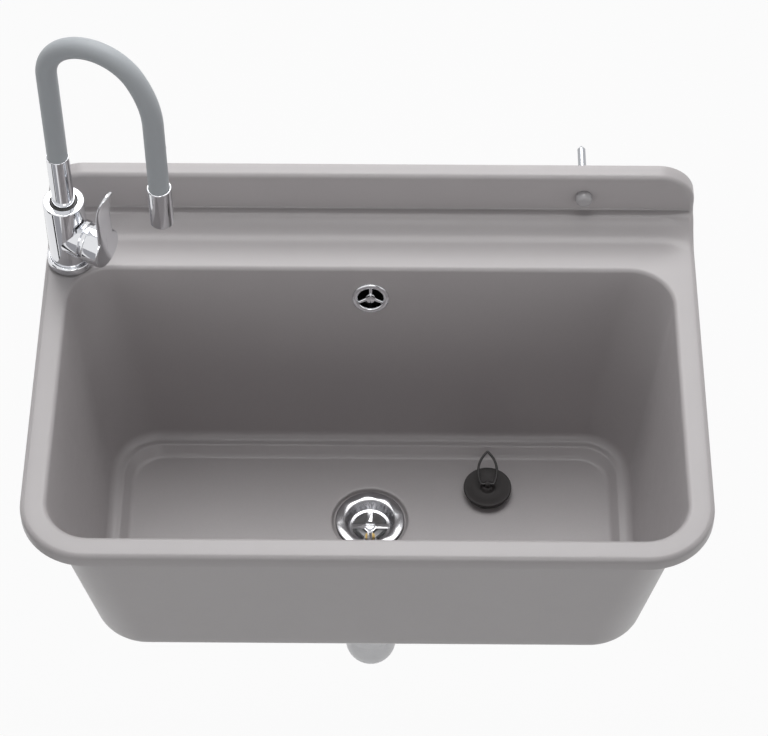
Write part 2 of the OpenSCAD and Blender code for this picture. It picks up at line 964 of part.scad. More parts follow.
// Union nut with grip flats and a tapered skirt
module tail_nut() {
    low = body_end_z - collar_t - nut_wall;
    grip_share = 0.78;
    color("#eeeeef")
    at_drain()
        translate([0, 0, low])
            difference() {
                union() {
                    translate([0, 0, nut_h * (1 - grip_share)])
                        cylinder(r = nut_r, h = nut_h * grip_share, $fn = 12);
                    cylinder(r1 = pipe_r + nut_wall + 1, r2 = nut_r - 1.2, h = nut_h * (1 - grip_share));
                }
                translate([0, 0, nut_wall])
                    cylinder(r = thread_r + seat_gap, h = nut_h);
                translate([0, 0, -overrun])
                    cylinder(r = pipe_r + seat_gap, h = nut_h);
            }
}

module tail_seal() {
    color("#4a4a4c")
    at_drain()
        translate([0, 0, tail_top_z + seat_gap])
            tube(thread_r - seat_gap, collar_r + seat_gap, seal_t - seat_gap);
}

// Pipe from the union nut into the trap, with a branch for an appliance
module tail_pipe() {
    color("#e9e9ea")
    at_drain()
        difference() {
            union() {
                translate([0, 0, tail_end_z])
                    cylinder(r = pipe_r, h = tail_top_z - tail_end_z + collar_t);
                translate([0, 0, tail_top_z])
                    cylinder(r = collar_r, h = collar_t);
                translate([0, 0, branch_z])
                    rotate([0, 0, branch_turn])
                        rotate([0, 90, 0])
                            cylinder(r = branch_r, h = branch_len);
            }
            translate([0, 0, tail_end_z - overrun])
                cylinder(r = pipe_in_r, h = tail_top_z - tail_end_z + collar_t + 2 * overrun);
            translate([0, 0, branch_z])
                rotate([0, 0, branch_turn])
                    rotate([0, 90, 0])
                        cylinder(r = branch_in_r, h = branch_len + overrun);
        }
}

// Stepped stopper on the appliance branch
module branch_cap() {
    start = branch_len - branch_cap_grip;
    color("#232d6e")
    at_drain()
        translate([0, 0, branch_z])
            rotate([0, 0, branch_turn])
                rotate([0, 90, 0])
                    translate([0, 0, start])
                        difference() {
                            union() {
                                cylinder(r = branch_cap_r, h = branch_cap_grip);
                                translate([0, 0, branch_cap_grip])
                                    cylinder(r = branch_cap_r - overrun, h = branch_cap_nose);
                            }
                            translate([0, 0, -overrun])
                                cylinder(r = branch_r + running_gap, h = branch_cap_grip + overrun + seat_gap);
                            translate([0, 0, branch_cap_grip + branch_cap_nose / 3])
                                cylinder(r = branch_cap_r / 3, h = branch_cap_nose);
                        }
}

// Socket with a rolled lip, open upwards, from its top down
module socket_outer() {
    translate([0, 0, -socket_depth]) {
        cylinder(r = socket_r - socket_lip, h = socket_depth);
        translate([0, 0, socket_depth - 2 * socket_lip])
            cylinder(r = socket_r, h = 2 * socket_lip);
    }
    translate([0, 0, -socket_depth - trap_wall])
        cylinder(r1 = inlet_tube_r, r2 = socket_r - socket_lip, h = trap_wall);
}

// Trap: inlet and outlet sockets on one housing with a clean-out end
module trap_body() {
    inlet_h = inlet_top_z - trap_axis_z;
    outlet_h = outlet_socket_top_z - trap_axis_z;
    bore = pipe_r + pipe_play;
    color("#eeeeef")
    difference() {
        union() {
            translate([0, trap_in_y, trap_axis_z]) {
                cylinder(r = inlet_tube_r, h = inlet_h - socket_depth);
                sphere(r = housing_r);
                along_y()
                    cylinder(r = housing_r, h = housing_end_y - trap_in_y);
            }
            translate([0, trap_in_y, inlet_top_z])
                socket_outer();
            translate([0, trap_out_y, trap_axis_z])
                cylinder(r = socket_r - socket_lip, h = outlet_h);
            translate([0, trap_out_y, outlet_socket_top_z - 2 * socket_lip])
                cylinder(r = socket_r, h = 2 * socket_lip);
        }
        translate([0, trap_in_y, trap_axis_z]) {
            cylinder(r = bore, h = inlet_h + overrun);
            sphere(r = housing_r - trap_wall);
            along_y()
                cylinder(r = housing_r - trap_wall, h = housing_end_y - trap_in_y + overrun);
        }
        translate([0, trap_in_y, inlet_top_z - socket_lip * 4])
            cylinder(r = bore + socket_lip * 1.5, h = socket_lip * 2);
        translate([0, trap_out_y, trap_axis_z])
            cylinder(r = bore, h = outlet_h + overrun);
        translate([0, trap_out_y, outlet_socket_top_z - socket_lip * 4])
            cylinder(r = bore + socket_lip * 1.5, h = socket_lip * 2);
    }
}

// Lip seal in the groove of a socket whose top is at z
module socket_seal(y, z) {
    groove_h = socket_lip * 2 - 2 * seat_gap;
    color("#2b2a2b")
    translate([0, y, z - socket_lip * 4 + seat_gap])
        tube(pipe_r + pipe_play + socket_lip * 1.5 - seat_gap, pipe_r + seat_gap, groove_h);
}

module inlet_seal() {
    socket_seal(trap_in_y, inlet_top_z);
}

module outlet_seal() {
    socket_seal(trap_out_y, outlet_socket_top_z);
}

module cleanout_seal() {
    color("#2b2a2b")
    translate([0, housing_end_y, trap_axis_z])
        along_y()
            tube(housing_r, housing_r - trap_wall, overrun * 2);
}

// Screwed cap with grip ribs over the end of the housing
module cleanout_cap() {
    start = housing_end_y - cleanout_overlap;
    ribs = 18;
    color("#e6e6e8")
    translate([0, start, trap_axis_z])
        along_y()
            difference() {
                union() {
                    cylinder(r = cleanout_r, h = cleanout_len);
                    for (i = [0:ribs - 1])
                        rotate([0, 0, 360 * i / ribs])
                            translate([cleanout_r, 0, 0])
                                cylinder(r = overrun, h = cleanout_len - 2 * overrun);
                }
                translate([0, 0, -overrun])
                    cylinder(r = housing_r + running_gap, h = cleanout_overlap + 3 * overrun + running_gap);
            }
}

// Ring section of a pipe
module ring(r_out, r_in) {
    difference() {
        circle(r = r_out);
        circle(r = r_in);
    }
}

// Bend out of the trap and the straight run through the wall, with a shallow mark at the wall plane
module outlet_pipe() {
    color("#e9e9ea") {
        translate([0, trap_out_y, outlet_start_z])
            linear_extrude(outlet_z - outlet_bend_r - outlet_start_z)
                ring(pipe_r, pipe_in_r);
        translate([0, trap_out_y + outlet_bend_r, outlet_z - outlet_bend_r])
            rotate([0, 0, 90])
                rotate([90, 0, 0])
                    rotate([0, 0, 90])
                        rotate_extrude(angle = 90)
                            translate([outlet_bend_r, 0])
                                ring(pipe_r, pipe_in_r);
        translate([0, trap_out_y + outlet_bend_r, outlet_z])
            along_y() {
                linear_extrude(-trap_out_y - outlet_bend_r)
                    ring(pipe_r, pipe_in_r);
                translate([0, 0, -trap_out_y - outlet_bend_r])
                    linear_extrude(depth_mark_w)
                        ring(pipe_r - depth_mark, pipe_in_r);
                translate([0, 0, -trap_out_y - outlet_bend_r + depth_mark_w])
                    linear_extrude(stub_len - depth_mark_w)
                        ring(pipe_r, pipe_in_r);
            }
    }
}

// Bell-shaped rosette that hides the hole in the wall
module wall_flange() {
    r = wall_flange_d / 2;
    hole = pipe_r + running_gap;
    neck = hole + wall_flange_wall;
    color("#ececed")
    translate([0, 0, outlet_z])
        rotate([90, 0, 0])
            rotate_extrude()
                polygon([
                    [hole, wall_flange_len],
                    [neck, wall_flange_len],
                    [neck + (r - neck) * 0.2, wall_flange_len * 0.55],
                    [neck + (r - neck) * 0.5, wall_flange_len * 0.3],
                    [r - wall_flange_wall, wall_flange_len * 0.18],
                    [r, wall_flange_len * 0.1],
                    [r, 0],
                    [r - wall_flange_wall, 0],
                    [r - wall_flange_wall * 2, wall_flange_wall],
                    [hole, wall_flange_wall]
                ]);
}

// Three-spoked rosette on the inside of the bowl
module overflow_rosette() {
    r = rosette_d / 2;
    bore = rosette_bore_r;
    spoke = 3.4;
    throat_r_out = overflow_hole_d / 2 - seat_gap * 4;
    color("#cfd0d3")
    at_overflow()
        along_y() {
            rotate_extrude()
                polygon([
                    [r, 0],
                    [r, -rosette_t / 2],
                    [r - rosette_t, -rosette_t],
                    [bore + rosette_t, -rosette_t],
                    [bore, 0],
                    [bore, rosette_throat],
                    [throat_r_out, rosette_throat],
                    [throat_r_out, 0]
                ]);
            difference() {
                union() {
                    cylinder(r = spoke * 1.5, h = rosette_throat / 2);
                    for (turn = [30, 150, 270])
                        rotate([0, 0, turn])
                            translate([0, -spoke / 2, overrun])
                                cube([bore + seat_gap * 4, spoke, rosette_throat / 2 - overrun]);
                }
                translate([0, 0, -overrun])
                    cylinder(r = spoke * 0.75 + seat_gap, h = rosette_throat);
            }
        }
}

module overflow_screw() {
    r = 2.5;
    head = 2.2;
    color("#d8d9dc")
    at_overflow()
        along_y()
            translate([0, 0, -head])
                difference() {
                    union() {
                        cylinder(r = r * 1.7, h = head);
                        cylinder(r = r, h = head + elbow_front + elbow_depth - elbow_wall);
                    }
                    translate([-head / 4, -r * 2, -overrun])
                        cube([head / 2, r * 4, head / 2 + overrun]);
                }
}

module overflow_gasket() {
    color("#232223")
    at_overflow()
        translate([0, wall_normal_t, 0])
            along_y()
                tube(elbow_r, overflow_hole_d / 2, overflow_gasket_t);
}

// Black elbow behind the bowl, with its spigot pointing down
module overflow_elbow() {
    color("#2e2d2e")
    at_overflow()
        difference() {
            union() {
                translate([0, elbow_front, 0])
                    along_y()
                        cylinder(r = elbow_r, h = elbow_depth);
                translate([0, elbow_back, -spigot_len])
                    cylinder(r = spigot_r, h = spigot_len);
            }
            translate([0, elbow_front - overrun, 0])
                along_y()
                    difference() {
                        cylinder(r = elbow_r - elbow_wall, h = elbow_depth - elbow_wall + overrun);
                        translate([0, 0, elbow_depth / 2])
                            cylinder(r = elbow_wall * 2, h = elbow_depth);
                    }
            translate([0, elbow_front - overrun, 0])
                along_y()
                    cylinder(r = 2.5 + seat_gap, h = elbow_depth - elbow_wall + overrun + seat_gap);
            translate([0, elbow_back, -spigot_len - overrun])
                cylinder(r = spigot_r - elbow_wall, h = spigot_len - elbow_r / 2);
        }
}

// Smooth cuff that joins the elbow to the hose
module overflow_sleeve() {
    r = hose_core_r + 0.6;
    color("#f0f0f1")
    at_overflow()
        translate([0, elbow_back, -sleeve_end])
            difference() {
                union() {
                    cylinder(r = r, h = sleeve_end - sleeve_top);
                    cylinder(r = hose_d / 2, h = overrun * 2);
                }
                translate([0, 0, -overrun])
                    cylinder(r = hose_bore_r, h = sleeve_end);
                translate([0, 0, sleeve_end - spigot_len - seat_gap])
                    cylinder(r = spigot_r + seat_gap, h = sleeve_end);
            }
}

// Route of the corrugated hose in the plane x = 0, as [y, z, heading], by arc length
hose_l1 = hose_run;
hose_l2 = hose_l1 + hose_ease_r * lean_angle * PI / 180;
hose_l3 = hose_l2 + ease_end_z - bend_start_z;
hose_l4 = hose_l3 + hose_bend_r * PI / 2;
hose_l5 = hose_l4 + hose_run;
function hose_at(s) =
    s <= hose_l1 ? [
        hose_start_y - s * sin(lean_angle),
        hose_start_z - s * cos(lean_angle),
        lean_angle
    ] :
    s <= hose_l2 ? let (a = lean_angle - (s - hose_l1) / hose_ease_r * 180 / PI) [
        ease_start_y + hose_ease_r * (cos(lean_angle) - cos(a)),
        ease_start_z + hose_ease_r * (sin(a) - sin(lean_angle)),
        a
    ] :
    s <= hose_l3 ? [ease_end_y, ease_end_z - (s - hose_l2), 0] :
    s <= hose_l4 ? let (a = (s - hose_l3) / hose_bend_r * 180 / PI) [
        ease_end_y - hose_bend_r * (1 - cos(a)),
        bend_start_z - hose_bend_r * sin(a),
        a
    ] :
    [ease_end_y - hose_bend_r - (s - hose_l4), port_z, 90];

// Ring of points of radius r about the route
function hose_ring(s, r) = let (p = hose_at(s))
    [for (k = [0:hose_sides - 1]) let (a = 360 * (k + 0.5) / hose_sides) [
        r * cos(a),
        p[0] + r * sin(a) * cos(p[2]),
        p[1] - r * sin(a) * sin(p[2])
    ]];

// Corrugated hose: two rings to a rib outside, a plain bore inside
module overflow_hose() {
    ribs = floor((hose_l5 - 2 * rib_pitch) / rib_pitch);
    lead = (hose_l5 - ribs * rib_pitch) / 2;
    outer = [
        [0, hose_core_r],
        for (i = [0:ribs - 1]) each [
            [lead + i * rib_pitch, hose_core_r],
            [lead + (i + 0.5) * rib_pitch, hose_d / 2]
        ],
        [hose_l5 - lead, hose_core_r],
        [hose_l5, hose_core_r]
    ];
    bore_steps = ceil(hose_l5 / hose_d * 1.5);
    inner = [for (i = [bore_steps:-1:0]) [hose_l5 * i / bore_steps, hose_bore_r]];
    rings = concat(outer, inner);
    count = len(rings);
    points = [for (q = rings) each hose_ring(q[0], q[1])];
    faces = [
        for (i = [0:count - 1], k = [0:hose_sides - 1])
            each let (
                j = (i + 1) % count,
                m = (k + 1) % hose_sides,
                a = i * hose_sides + k,
                b = i * hose_sides + m,
                c = j * hose_sides + m,
                d = j * hose_sides + k
            ) [[a, b, c], [a, c, d]]
    ];
    color("#f0f0f1")
    polyhedron(points = points, faces = faces, convexity = 10);
}

// Smooth tube between the hose and the union nut
module overflow_cuff() {
    seat_y = -drain_back + port_len;
    color("#bdbec0")
    translate([0, seat_y, port_z])
        along_y()
            difference() {
                union() {
                    cylinder(r = cuff_r, h = hose_end_y - seat_y);
                    cylinder(r = port_r - seat_gap, h = collar_t);
                }
                translate([0, 0, -overrun])
                    cylinder(r = port_bore_r, h = hose_end_y - seat_y + 2 * overrun);
            }
}

module overflow_nut() {
    ribs = 12;
    color("#eeeeef")
    translate([0, -drain_back + union_back, port_z])
        along_y()
            difference() {
                union() {
                    cylinder(r = union_r - overrun, h = union_len);
                    for (i = [0:ribs - 1])
                        rotate([0, 0, 360 * i / ribs])
                            translate([union_r - 1.5 * overrun, 0, 0])
                                cylinder(r = 1.5 * overrun, h = union_len - 4 * overrun);
                }
                translate([0, 0, -overrun])
                    cylinder(r = port_r + seat_gap, h = port_len - union_back + collar_t + overrun + seat_gap);
                cylinder(r = cuff_r + seat_gap, h = union_len + overrun);
            }
}

// Rubber plug lying on the floor of the bowl
module plug() {
    r = plug_d / 2;
    color("#2f2d2e")
    translate([plug_x, -plug_back, floor_z])
        difference() {
            union() {
                rotate_extrude()
                    polygon([
                        [0, 0],
                        [r - plug_taper, 0],
                        [r, plug_h - plug_edge],
                        [r, plug_h],
                        [r - plug_edge, plug_h],
                        [r * 0.35, plug_h * 0.72],
                        [0, plug_h * 0.72]
                    ]);
                translate([0, 0, plug_h * 0.7])
                    cylinder(r1 = r * 0.3, r2 = r * 0.14, h = plug_h * 0.5);
                translate([-ear_w / 2, -ear_w * 0.7, plug_h * 0.7])
                    cube([ear_w, ear_w * 1.4, plug_h * 0.3 + ear_h - ear_w * 0.7]);
                translate([-ear_w / 2, 0, plug_h + ear_h - ear_w * 0.7])
                    rotate([0, 90, 0])
                        cylinder(r = ear_w * 0.7, h = ear_w);
            }
            translate([-ear_w / 2 - overrun, 0, plug_h + ear_h - ear_w * 0.7])
                rotate([0, 90, 0])
                    cylinder(r = ear_hole_r, h = ear_w + 2 * overrun);
        }
}

// Wire along an arc from p to q in the XZ plane, bulging to its left
module wire_arc(p, q, bulge, r) {
    chord = norm(q - p);
    bend_r = (chord * chord / 4 + bulge * bulge) / (2 * bulge);
    half = asin(chord / 2 / bend_r);
    heading = atan2(q[1] - p[1], q[0] - p[0]);
    middle = (p + q) / 2;
    centre = middle + (bend_r - bulge) * [sin(heading), -cos(heading)];
    translate([centre[0], 0, centre[1]])
        rotate([90, 0, 0])
            rotate([0, 0, heading + 90 - half])
                rotate_extrude(angle = 2 * half)
                    translate([bend_r, 0])
                        circle(r = r);
}

// Leaf-shaped pull loop, lying back on the edge of the plug
module plug_ring() {
    half = loop_bar / 2;
    color("#2f2d2e")
    translate([plug_x, -plug_back, floor_z + plug_h + ear_h - ear_w * 0.7])
        rotate([-loop_lean, 0, 0])
            union() {
                translate([-half, 0, 0])
                    rotate([0, 90, 0])
                        cylinder(r = loop_wire_r, h = loop_bar);
                both_sides()
                    wire_arc([-half, 0], [0, loop_len], loop_bulge, loop_wire_r);
                both_sides()
                    translate([half, 0, 0])
                        sphere(r = loop_wire_r);
                translate([0, 0, loop_len])
                    sphere(r = loop_wire_r);
            }
}

module tap_gasket() {
    color("#2b2a2b")
    at_tap()
        tube(tap_base_d / 2 - tap_gasket_inset, tap_hole_r, tap_gasket_t);
}

module tap_base_ring() {
    color("#d5d6da")
    at_tap()
        difference() {
            translate([0, 0, tap_gasket_t])
                rotate_extrude()
                    polygon([
                        [0, 0],
                        [tap_base_d / 2, 0],
                        [tap_base_d / 2, tap_ring_top - tap_gasket_t - overrun],
                        [tap_base_d / 2 - overrun, tap_ring_top - tap_gasket_t],
                        [0, tap_ring_top - tap_gasket_t]
                    ]);
            translate([0, 0, -overrun])
                cylinder(r = shank_r + seat_gap, h = tap_ring_top + 2 * overrun);
            translate([0, 0, tap_foot])
                cylinder(r = tap_body_d / 2 + seat_gap, h = tap_ring_top);
        }
}

// Tap body with the side housing for the cartridge
module tap_body() {
    r = tap_body_d / 2;
    color("#d5d6da")
    difference() {
        union() {
            at_tap() {
                translate([0, 0, tap_foot])
                    cylinder(r = r, h = tap_body_h - tap_foot - overrun);
                translate([0, 0, tap_body_h - overrun])
                    cylinder(r1 = r, r2 = r - overrun, h = overrun);
            }
            at_housing()
                cylinder(r = housing_outer_r, h = housing_end);
        }
        at_housing()
            translate([0, 0, cartridge_start])
                cylinder(r = cartridge_bore_r, h = housing_end);
        at_tap() {
            translate([0, 0, spout_foot - clip_room])
                cylinder(r = bush_r + seat_gap, h = tap_body_h);
            translate([0, 0, tap_foot - overrun])
                cylinder(r = shank_r + seat_gap, h = shank_top - tap_foot + overrun + seat_gap);
            for (side = [-1, 1])
                translate([side * inlet_spread, 0, shank_top - overrun])
                    cylinder(r = inlet_r, h = inlet_depth + overrun);
            translate([-inlet_spread, 0, housing_rise])
                cylinder(r = inlet_r, h = spout_foot - housing_rise);
        }
    }
}

module tap_shank() {
    color("#b3a070")
    at_tap()
        translate([0, 0, shank_top - shank_len - shank_top])
            tube(shank_r, shank_bore_r, shank_len + shank_top);
}

module tap_washer() {
    color("#6c6d70")
    at_tap()
        translate([0, 0, -basin_wall - tap_washer_t])
            tube(tap_washer_r, shank_r + seat_gap, tap_washer_t);
}

module tap_nut() {
    color("#b3a070")
    at_tap()
        translate([0, 0, -basin_wall - tap_washer_t - tap_nut_h])
            difference() {
                cylinder(r = tap_nut_r, h = tap_nut_h, $fn = 6);
                translate([0, 0, -overrun])
                    cylinder(r = shank_r + seat_gap, h = tap_nut_h + 2 * overrun);
            }
}

// Ceramic cartridge in the housing
module cartridge() {
    color("#d8d5cc")
    at_housing()
        difference() {
            union() {
                translate([0, 0, cartridge_start])
                    cylinder(r = cartridge_r, h = housing_end - cartridge_start - 4);
            }
            translate([0, 0, rotor_back])
                cylinder(r = rotor_r + running_gap, h = housing_end);
        }
}

// Screwed dome that holds the cartridge in
module cartridge_nut() {
    back = housing_end - 4;
    color("#d5d6da")
    at_housing()
        rotate_extrude()
            polygon([
                [rotor_r + 3 * running_gap, back],
                [cartridge_r, back],
                [cartridge_r, housing_end + 2],
                [cartridge_r - 1, housing_end + 4],
                [dome_nose_r + 1.2, dome_nose - 2],
                [dome_nose_r - 1, dome_nose],
                [dome_mouth_r, dome_nose],
                [rotor_r + 3 * running_gap, housing_end + 1]
            ]);
}

// Turning part of the cartridge, with two ears and the lever's pin
module cartridge_rotor() {
    ear_x = stem_half + running_gap;
    ear_r = lever_pivot - rotor_front;
    color("#4d6b3a")
    at_housing() {
        translate([0, 0, rotor_back + running_gap])
            cylinder(r = rotor_r, h = rotor_front - rotor_back);
        for (side = [-1, 1])
            translate([-ear_r / 2, side * (ear_x + rotor_ear / 2) - rotor_ear / 2, rotor_front])
                cube([ear_r, rotor_ear, lever_pivot - rotor_front + 2 * pin_r]);
        translate([0, -ear_x - rotor_ear / 2, lever_pivot])
            rotate([-90, 0, 0])
                cylinder(r = pin_r, h = 2 * ear_x + rotor_ear);
    }
}

// Square stem from the pin to the lever
module lever_stem() {
    back = lever_pivot - stem_half;
    color("#8f9094")
    at_housing()
        difference() {
            union() {
                translate([-stem_half, -stem_half, lever_pivot])
                    cube([2 * stem_half, 2 * stem_half, lever_cap_end - lever_pivot - 4]);
                translate([0, stem_half, lever_pivot])
                    rotate([90, 0, 0])
                        cylinder(r = stem_half, h = 2 * stem_half);
            }
            translate([0, -stem_half - overrun, lever_pivot])
                rotate([-90, 0, 0])
                    cylinder(r = pin_r + running_gap, h = 2 * stem_half + 2 * overrun);
        }
}

// Section of the paddle seen from its edge: straight, then curling outwards
module paddle_section() {
    square_h = lever_straight;
    translate([lever_cap_end - lever_t, 0])
        square([lever_t, square_h]);
    intersection() {
        translate([lever_cap_end + lever_curl_r, square_h])
            difference() {
                circle(r = lever_curl_r + lever_t, $fn = 180);
                circle(r = lever_curl_r, $fn = 180);
            }
        translate([lever_cap_end - 2 * lever_t, square_h])
            square([lever_curl_r / 2, lever_len]);
    }
}

// Lever: a round cap over the dome and a flat paddle that rises from its face
module lever() {
    color("#d5d6da")
    at_housing()
        difference() {
            union() {
                rotate_extrude()
                    polygon([
                        [0, lever_cap_start],
                        [lever_cap_r - overrun / 2, lever_cap_start],
                        [lever_cap_r, lever_cap_start + overrun / 2],
                        [lever_cap_r, lever_cap_end - overrun],
                        [lever_cap_r - overrun, lever_cap_end],
                        [0, lever_cap_end]
                    ]);
                intersection() {
                    rotate([0, 0, 180])
                        translate([0, lever_w / 2, 0])
                            rotate([90, 0, 0])
                                linear_extrude(lever_w)
                                    rotate([0, 0, 90])
                                        mirror([0, 1])
                                            paddle_section();
                    linear_extrude(lever_cap_end + lever_curl_r) {
                        translate([-lever_len + lever_w / 2, -lever_w / 2])
                            square([lever_len - lever_w / 2, lever_w]);
                        translate([-lever_len + lever_w / 2, 0])
                            circle(r = lever_w / 2);
                    }
                }
            }
            translate([0, 0, lever_cap_start - overrun])
                cylinder(r = lever_cap_bore_r, h = lever_cap_floor - lever_cap_start + overrun);
            translate([-stem_half - seat_gap, -stem_half - seat_gap, lever_cap_floor - overrun])
                cube([
                    2 * (stem_half + seat_gap),
                    2 * (stem_half + seat_gap),
                    lever_cap_end - 4 - lever_cap_floor + overrun + seat_gap
                ]);
            translate([stem_half, 0, lever_cap_floor + 3])
                rotate([0, 90, 0])
                    cylinder(r = lever_screw_r + seat_gap, h = lever_cap_r);
        }
}

// Grub screw under the cap
module lever_screw() {
    color("#8f9094")
    at_housing()
        translate([stem_half + seat_gap, 0, lever_cap_floor + 3])
            rotate([0, 90, 0])
                cylinder(r = lever_screw_r, h = lever_cap_r / 3);
}

module spout_bush() {
    color("#3a3a3c")
    at_spout()
        translate([0, 0, tap_body_h - bush_len])
            tube(bush_r, spout_r + running_gap, bush_len - seat_gap);
}

module spout_clip() {
    color("#8f9094")
    at_spout()
        translate([0, 0, tap_body_h - bush_len - clip_drop])
            difference() {
                tube(bush_r - 0.6, spout_r + seat_gap, clip_t);
                translate([0, -spout_r / 4, -overrun])
                    cube([bush_r + overrun, spout_r / 2, clip_t + 2 * overrun]);
            }
}

module spout_tube() {
    color("#d5d6da")
    at_spout()
        translate([0, 0, spout_foot])
            difference() {
                union() {
                    cylinder(r = spout_r, h = spout_tube_h - spout_foot);
                    cylinder(r = spout_r + 1, h = 1.4);
                }
                translate([0, 0, -overrun])
                    cylinder(r = spout_bore_r, h = spout_tube_h - spout_foot + 2 * overrun);
            }
}

// Arched route of the spout in its own plane, from low to end, with a ring section
module spout_route(r_out, r_in, low, end_low) {
    translate([0, 0, low])
        linear_extrude(hose_straight_h - low)
            ring(r_out, r_in);
    translate([arch_r, 0, hose_straight_h])
        rotate([90, 0, 0])
            rotate([0, 0, 90])
                rotate_extrude(angle = 90)
                    translate([arch_r, 0])
                        ring(r_out, r_in);
    translate([arch_r, 0, arch_end_h])
        rotate([90, 0, 0])
            rotate_extrude(angle = 90)
                translate([arch_r2, 0])
                    ring(r_out, r_in);
    translate([spout_reach, 0, end_low])
        linear_extrude(arch_end_h - end_low)
            ring(r_out, r_in);
}

module spout_liner() {
    color("#c9c9cb")
    at_spout()
        spout_route(liner_r, liner_bore_r, spout_foot, outlet_rise + aerator_len + 2);
}

module spout_hose() {
    color("#8b9094")
    at_spout()
        spout_route(
            spout_hose_d / 2,
            liner_r + liner_play,
            spout_tube_h - hose_in,
            outlet_rise + sleeve_len - hose_in
        );
}

module spout_sleeve() {
    color("#d5d6da")
    at_spout()
        translate([spout_reach, 0, outlet_rise])
            tube(sleeve_r, sleeve_bore_r, sleeve_len);
}

// Insert in the spout's end with a ring of holes
module aerator() {
    holes = 12;
    color("#c0c1c5")
    at_spout()
        translate([spout_reach, 0, outlet_rise])
            difference() {
                cylinder(r = aerator_r, h = aerator_len);
                translate([0, 0, 2])
                    cylinder(r = aerator_r - 1.5, h = aerator_len);
                for (i = [0:holes - 1])
                    rotate([0, 0, 360 * i / holes])
                        translate([aerator_r * 0.62, 0, -overrun])
                            cylinder(r = 0.9, h = 4);
                translate([0, 0, -overrun])
                    cylinder(r = 1.1, h = 4);
            }
}

basin();
wall_screws();
screw_washers();
screw_caps();
bracket();
bracket_screws();
bracket_wall_screw();
strainer_plate();
strainer_screw();
upper_gasket();
lower_gasket();
waste_body();
bridge_insert();
tail_nut();
tail_seal();
tail_pipe();
branch_cap();
trap_body();
inlet_seal();
outlet_seal();
cleanout_seal();
cleanout_cap();
outlet_pipe();
wall_flange();
overflow_rosette();
overflow_screw();
overflow_gasket();
overflow_elbow();
overflow_sleeve();
overflow_hose();
overflow_cuff();
overflow_nut();
plug();
plug_ring();
tap_gasket();
tap_base_ring();
tap_body();
tap_shank();
tap_washer();
tap_nut();
cartridge();
cartridge_nut();
cartridge_rotor();
lever_stem();
lever();
lever_screw();
spout_bush();
spout_clip();
spout_tube();
spout_liner();
spout_hose();
spout_sleeve();
aerator();
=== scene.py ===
import json
import math

import bmesh
import bpy
import numpy as np
from bpy.props import FloatProperty, FloatVectorProperty, IntProperty, PointerProperty
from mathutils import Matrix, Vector


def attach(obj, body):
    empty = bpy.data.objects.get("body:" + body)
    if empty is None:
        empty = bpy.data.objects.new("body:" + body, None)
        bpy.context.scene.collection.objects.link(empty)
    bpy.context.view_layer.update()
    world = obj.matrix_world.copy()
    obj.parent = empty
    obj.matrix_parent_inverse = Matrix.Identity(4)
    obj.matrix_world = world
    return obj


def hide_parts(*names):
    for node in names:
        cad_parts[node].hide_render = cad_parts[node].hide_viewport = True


bl_info = {
    "name": "Utility laundry sink",
    "version": (1, 0, 0),
    "blender": (4, 5, 0),
    "location": "3D View > Sidebar > Laundry sink",
    "description": "Dresses the packed laundry sink: moulded basin, tap, waste, overflow and plug",
    "category": "Object",
}

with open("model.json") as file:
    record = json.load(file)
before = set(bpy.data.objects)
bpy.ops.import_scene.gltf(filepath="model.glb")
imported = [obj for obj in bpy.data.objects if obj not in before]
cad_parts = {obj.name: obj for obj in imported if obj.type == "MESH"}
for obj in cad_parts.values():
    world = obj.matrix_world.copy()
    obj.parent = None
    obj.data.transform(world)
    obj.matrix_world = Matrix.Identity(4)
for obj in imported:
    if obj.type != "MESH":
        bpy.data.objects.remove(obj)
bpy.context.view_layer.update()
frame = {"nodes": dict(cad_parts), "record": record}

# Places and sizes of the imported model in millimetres, from the middle of the wall screws on the wall
MM = 0.001
X, Y, Z = np.eye(3)
RIM_Z = -34.0
FLOOR_Z = -269.0
SEAT_Z = -273.5
LIP_DROP = 14.0
HALF_W = 320.0
FRONT_Y = -428.0
RIM_R = 64.0
PANEL_Y = -16.0
PANEL_TOP = 28.0
PANEL_R = 38.0
BORDER = 18.0
DECK_Y = -60.0
COVE_R = 28.0
COVE_ANGLE = 63.46
COVE_TOE = 50.0
RAMP_TOE = 58.0
CREST = np.array([24.95, 15.5])
LEDGE_FOOT = np.array([[18.2, 15.5], [16.0, 15.5], [16.0, 17.6]])
BOWL_HALF_W = 296.0
BOWL_BACK = -82.5
BOWL_FRONT = -405.0
BOWL_DEPTH = 226.0
BOWL_R = 42.0
BOWL_R_GROWTH = 8.0
LEAN_Y = 35.0
LEAN_X = 31.0
LEAN = math.atan(LEAN_Y / BOWL_DEPTH)
SUNK_HALF_W = 253.0
SUNK_BACK = -129.5
SUNK_FRONT = -358.0
SUNK_R = 38.0
SCREW_X = (-210.0, 210.0)
DRAIN = (0.0, -217.0)
PORT_Z = -296.0
PIPE_R = 20.0
PIPE_BORE = 18.2
OVERFLOW = np.array([0.0, BOWL_BACK - 38.0 * math.tan(LEAN), -72.0])
OUT = np.array([0.0, math.cos(LEAN), -math.sin(LEAN)])
UP = np.array([0.0, math.sin(LEAN), math.cos(LEAN)])
ELBOW_FRONT = 5.0 * math.cos(LEAN)
ELBOW = OVERFLOW + (ELBOW_FRONT + 18.0) * OUT
CUFF_END = 68.0
HOSE_RUN = 30.0
HOSE_EASE = 150.0
HOSE_BEND = 34.0
HOSE_R = 15.0
HOSE_BORE = 11.9
PLUG = np.array([120.0, -182.0, FLOOR_Z])
PLUG_EYE = PLUG + 14.5 * Z
TAP = np.array([-295.0, -72.0, RIM_Z])
HOUSING = TAP + 40 * Z


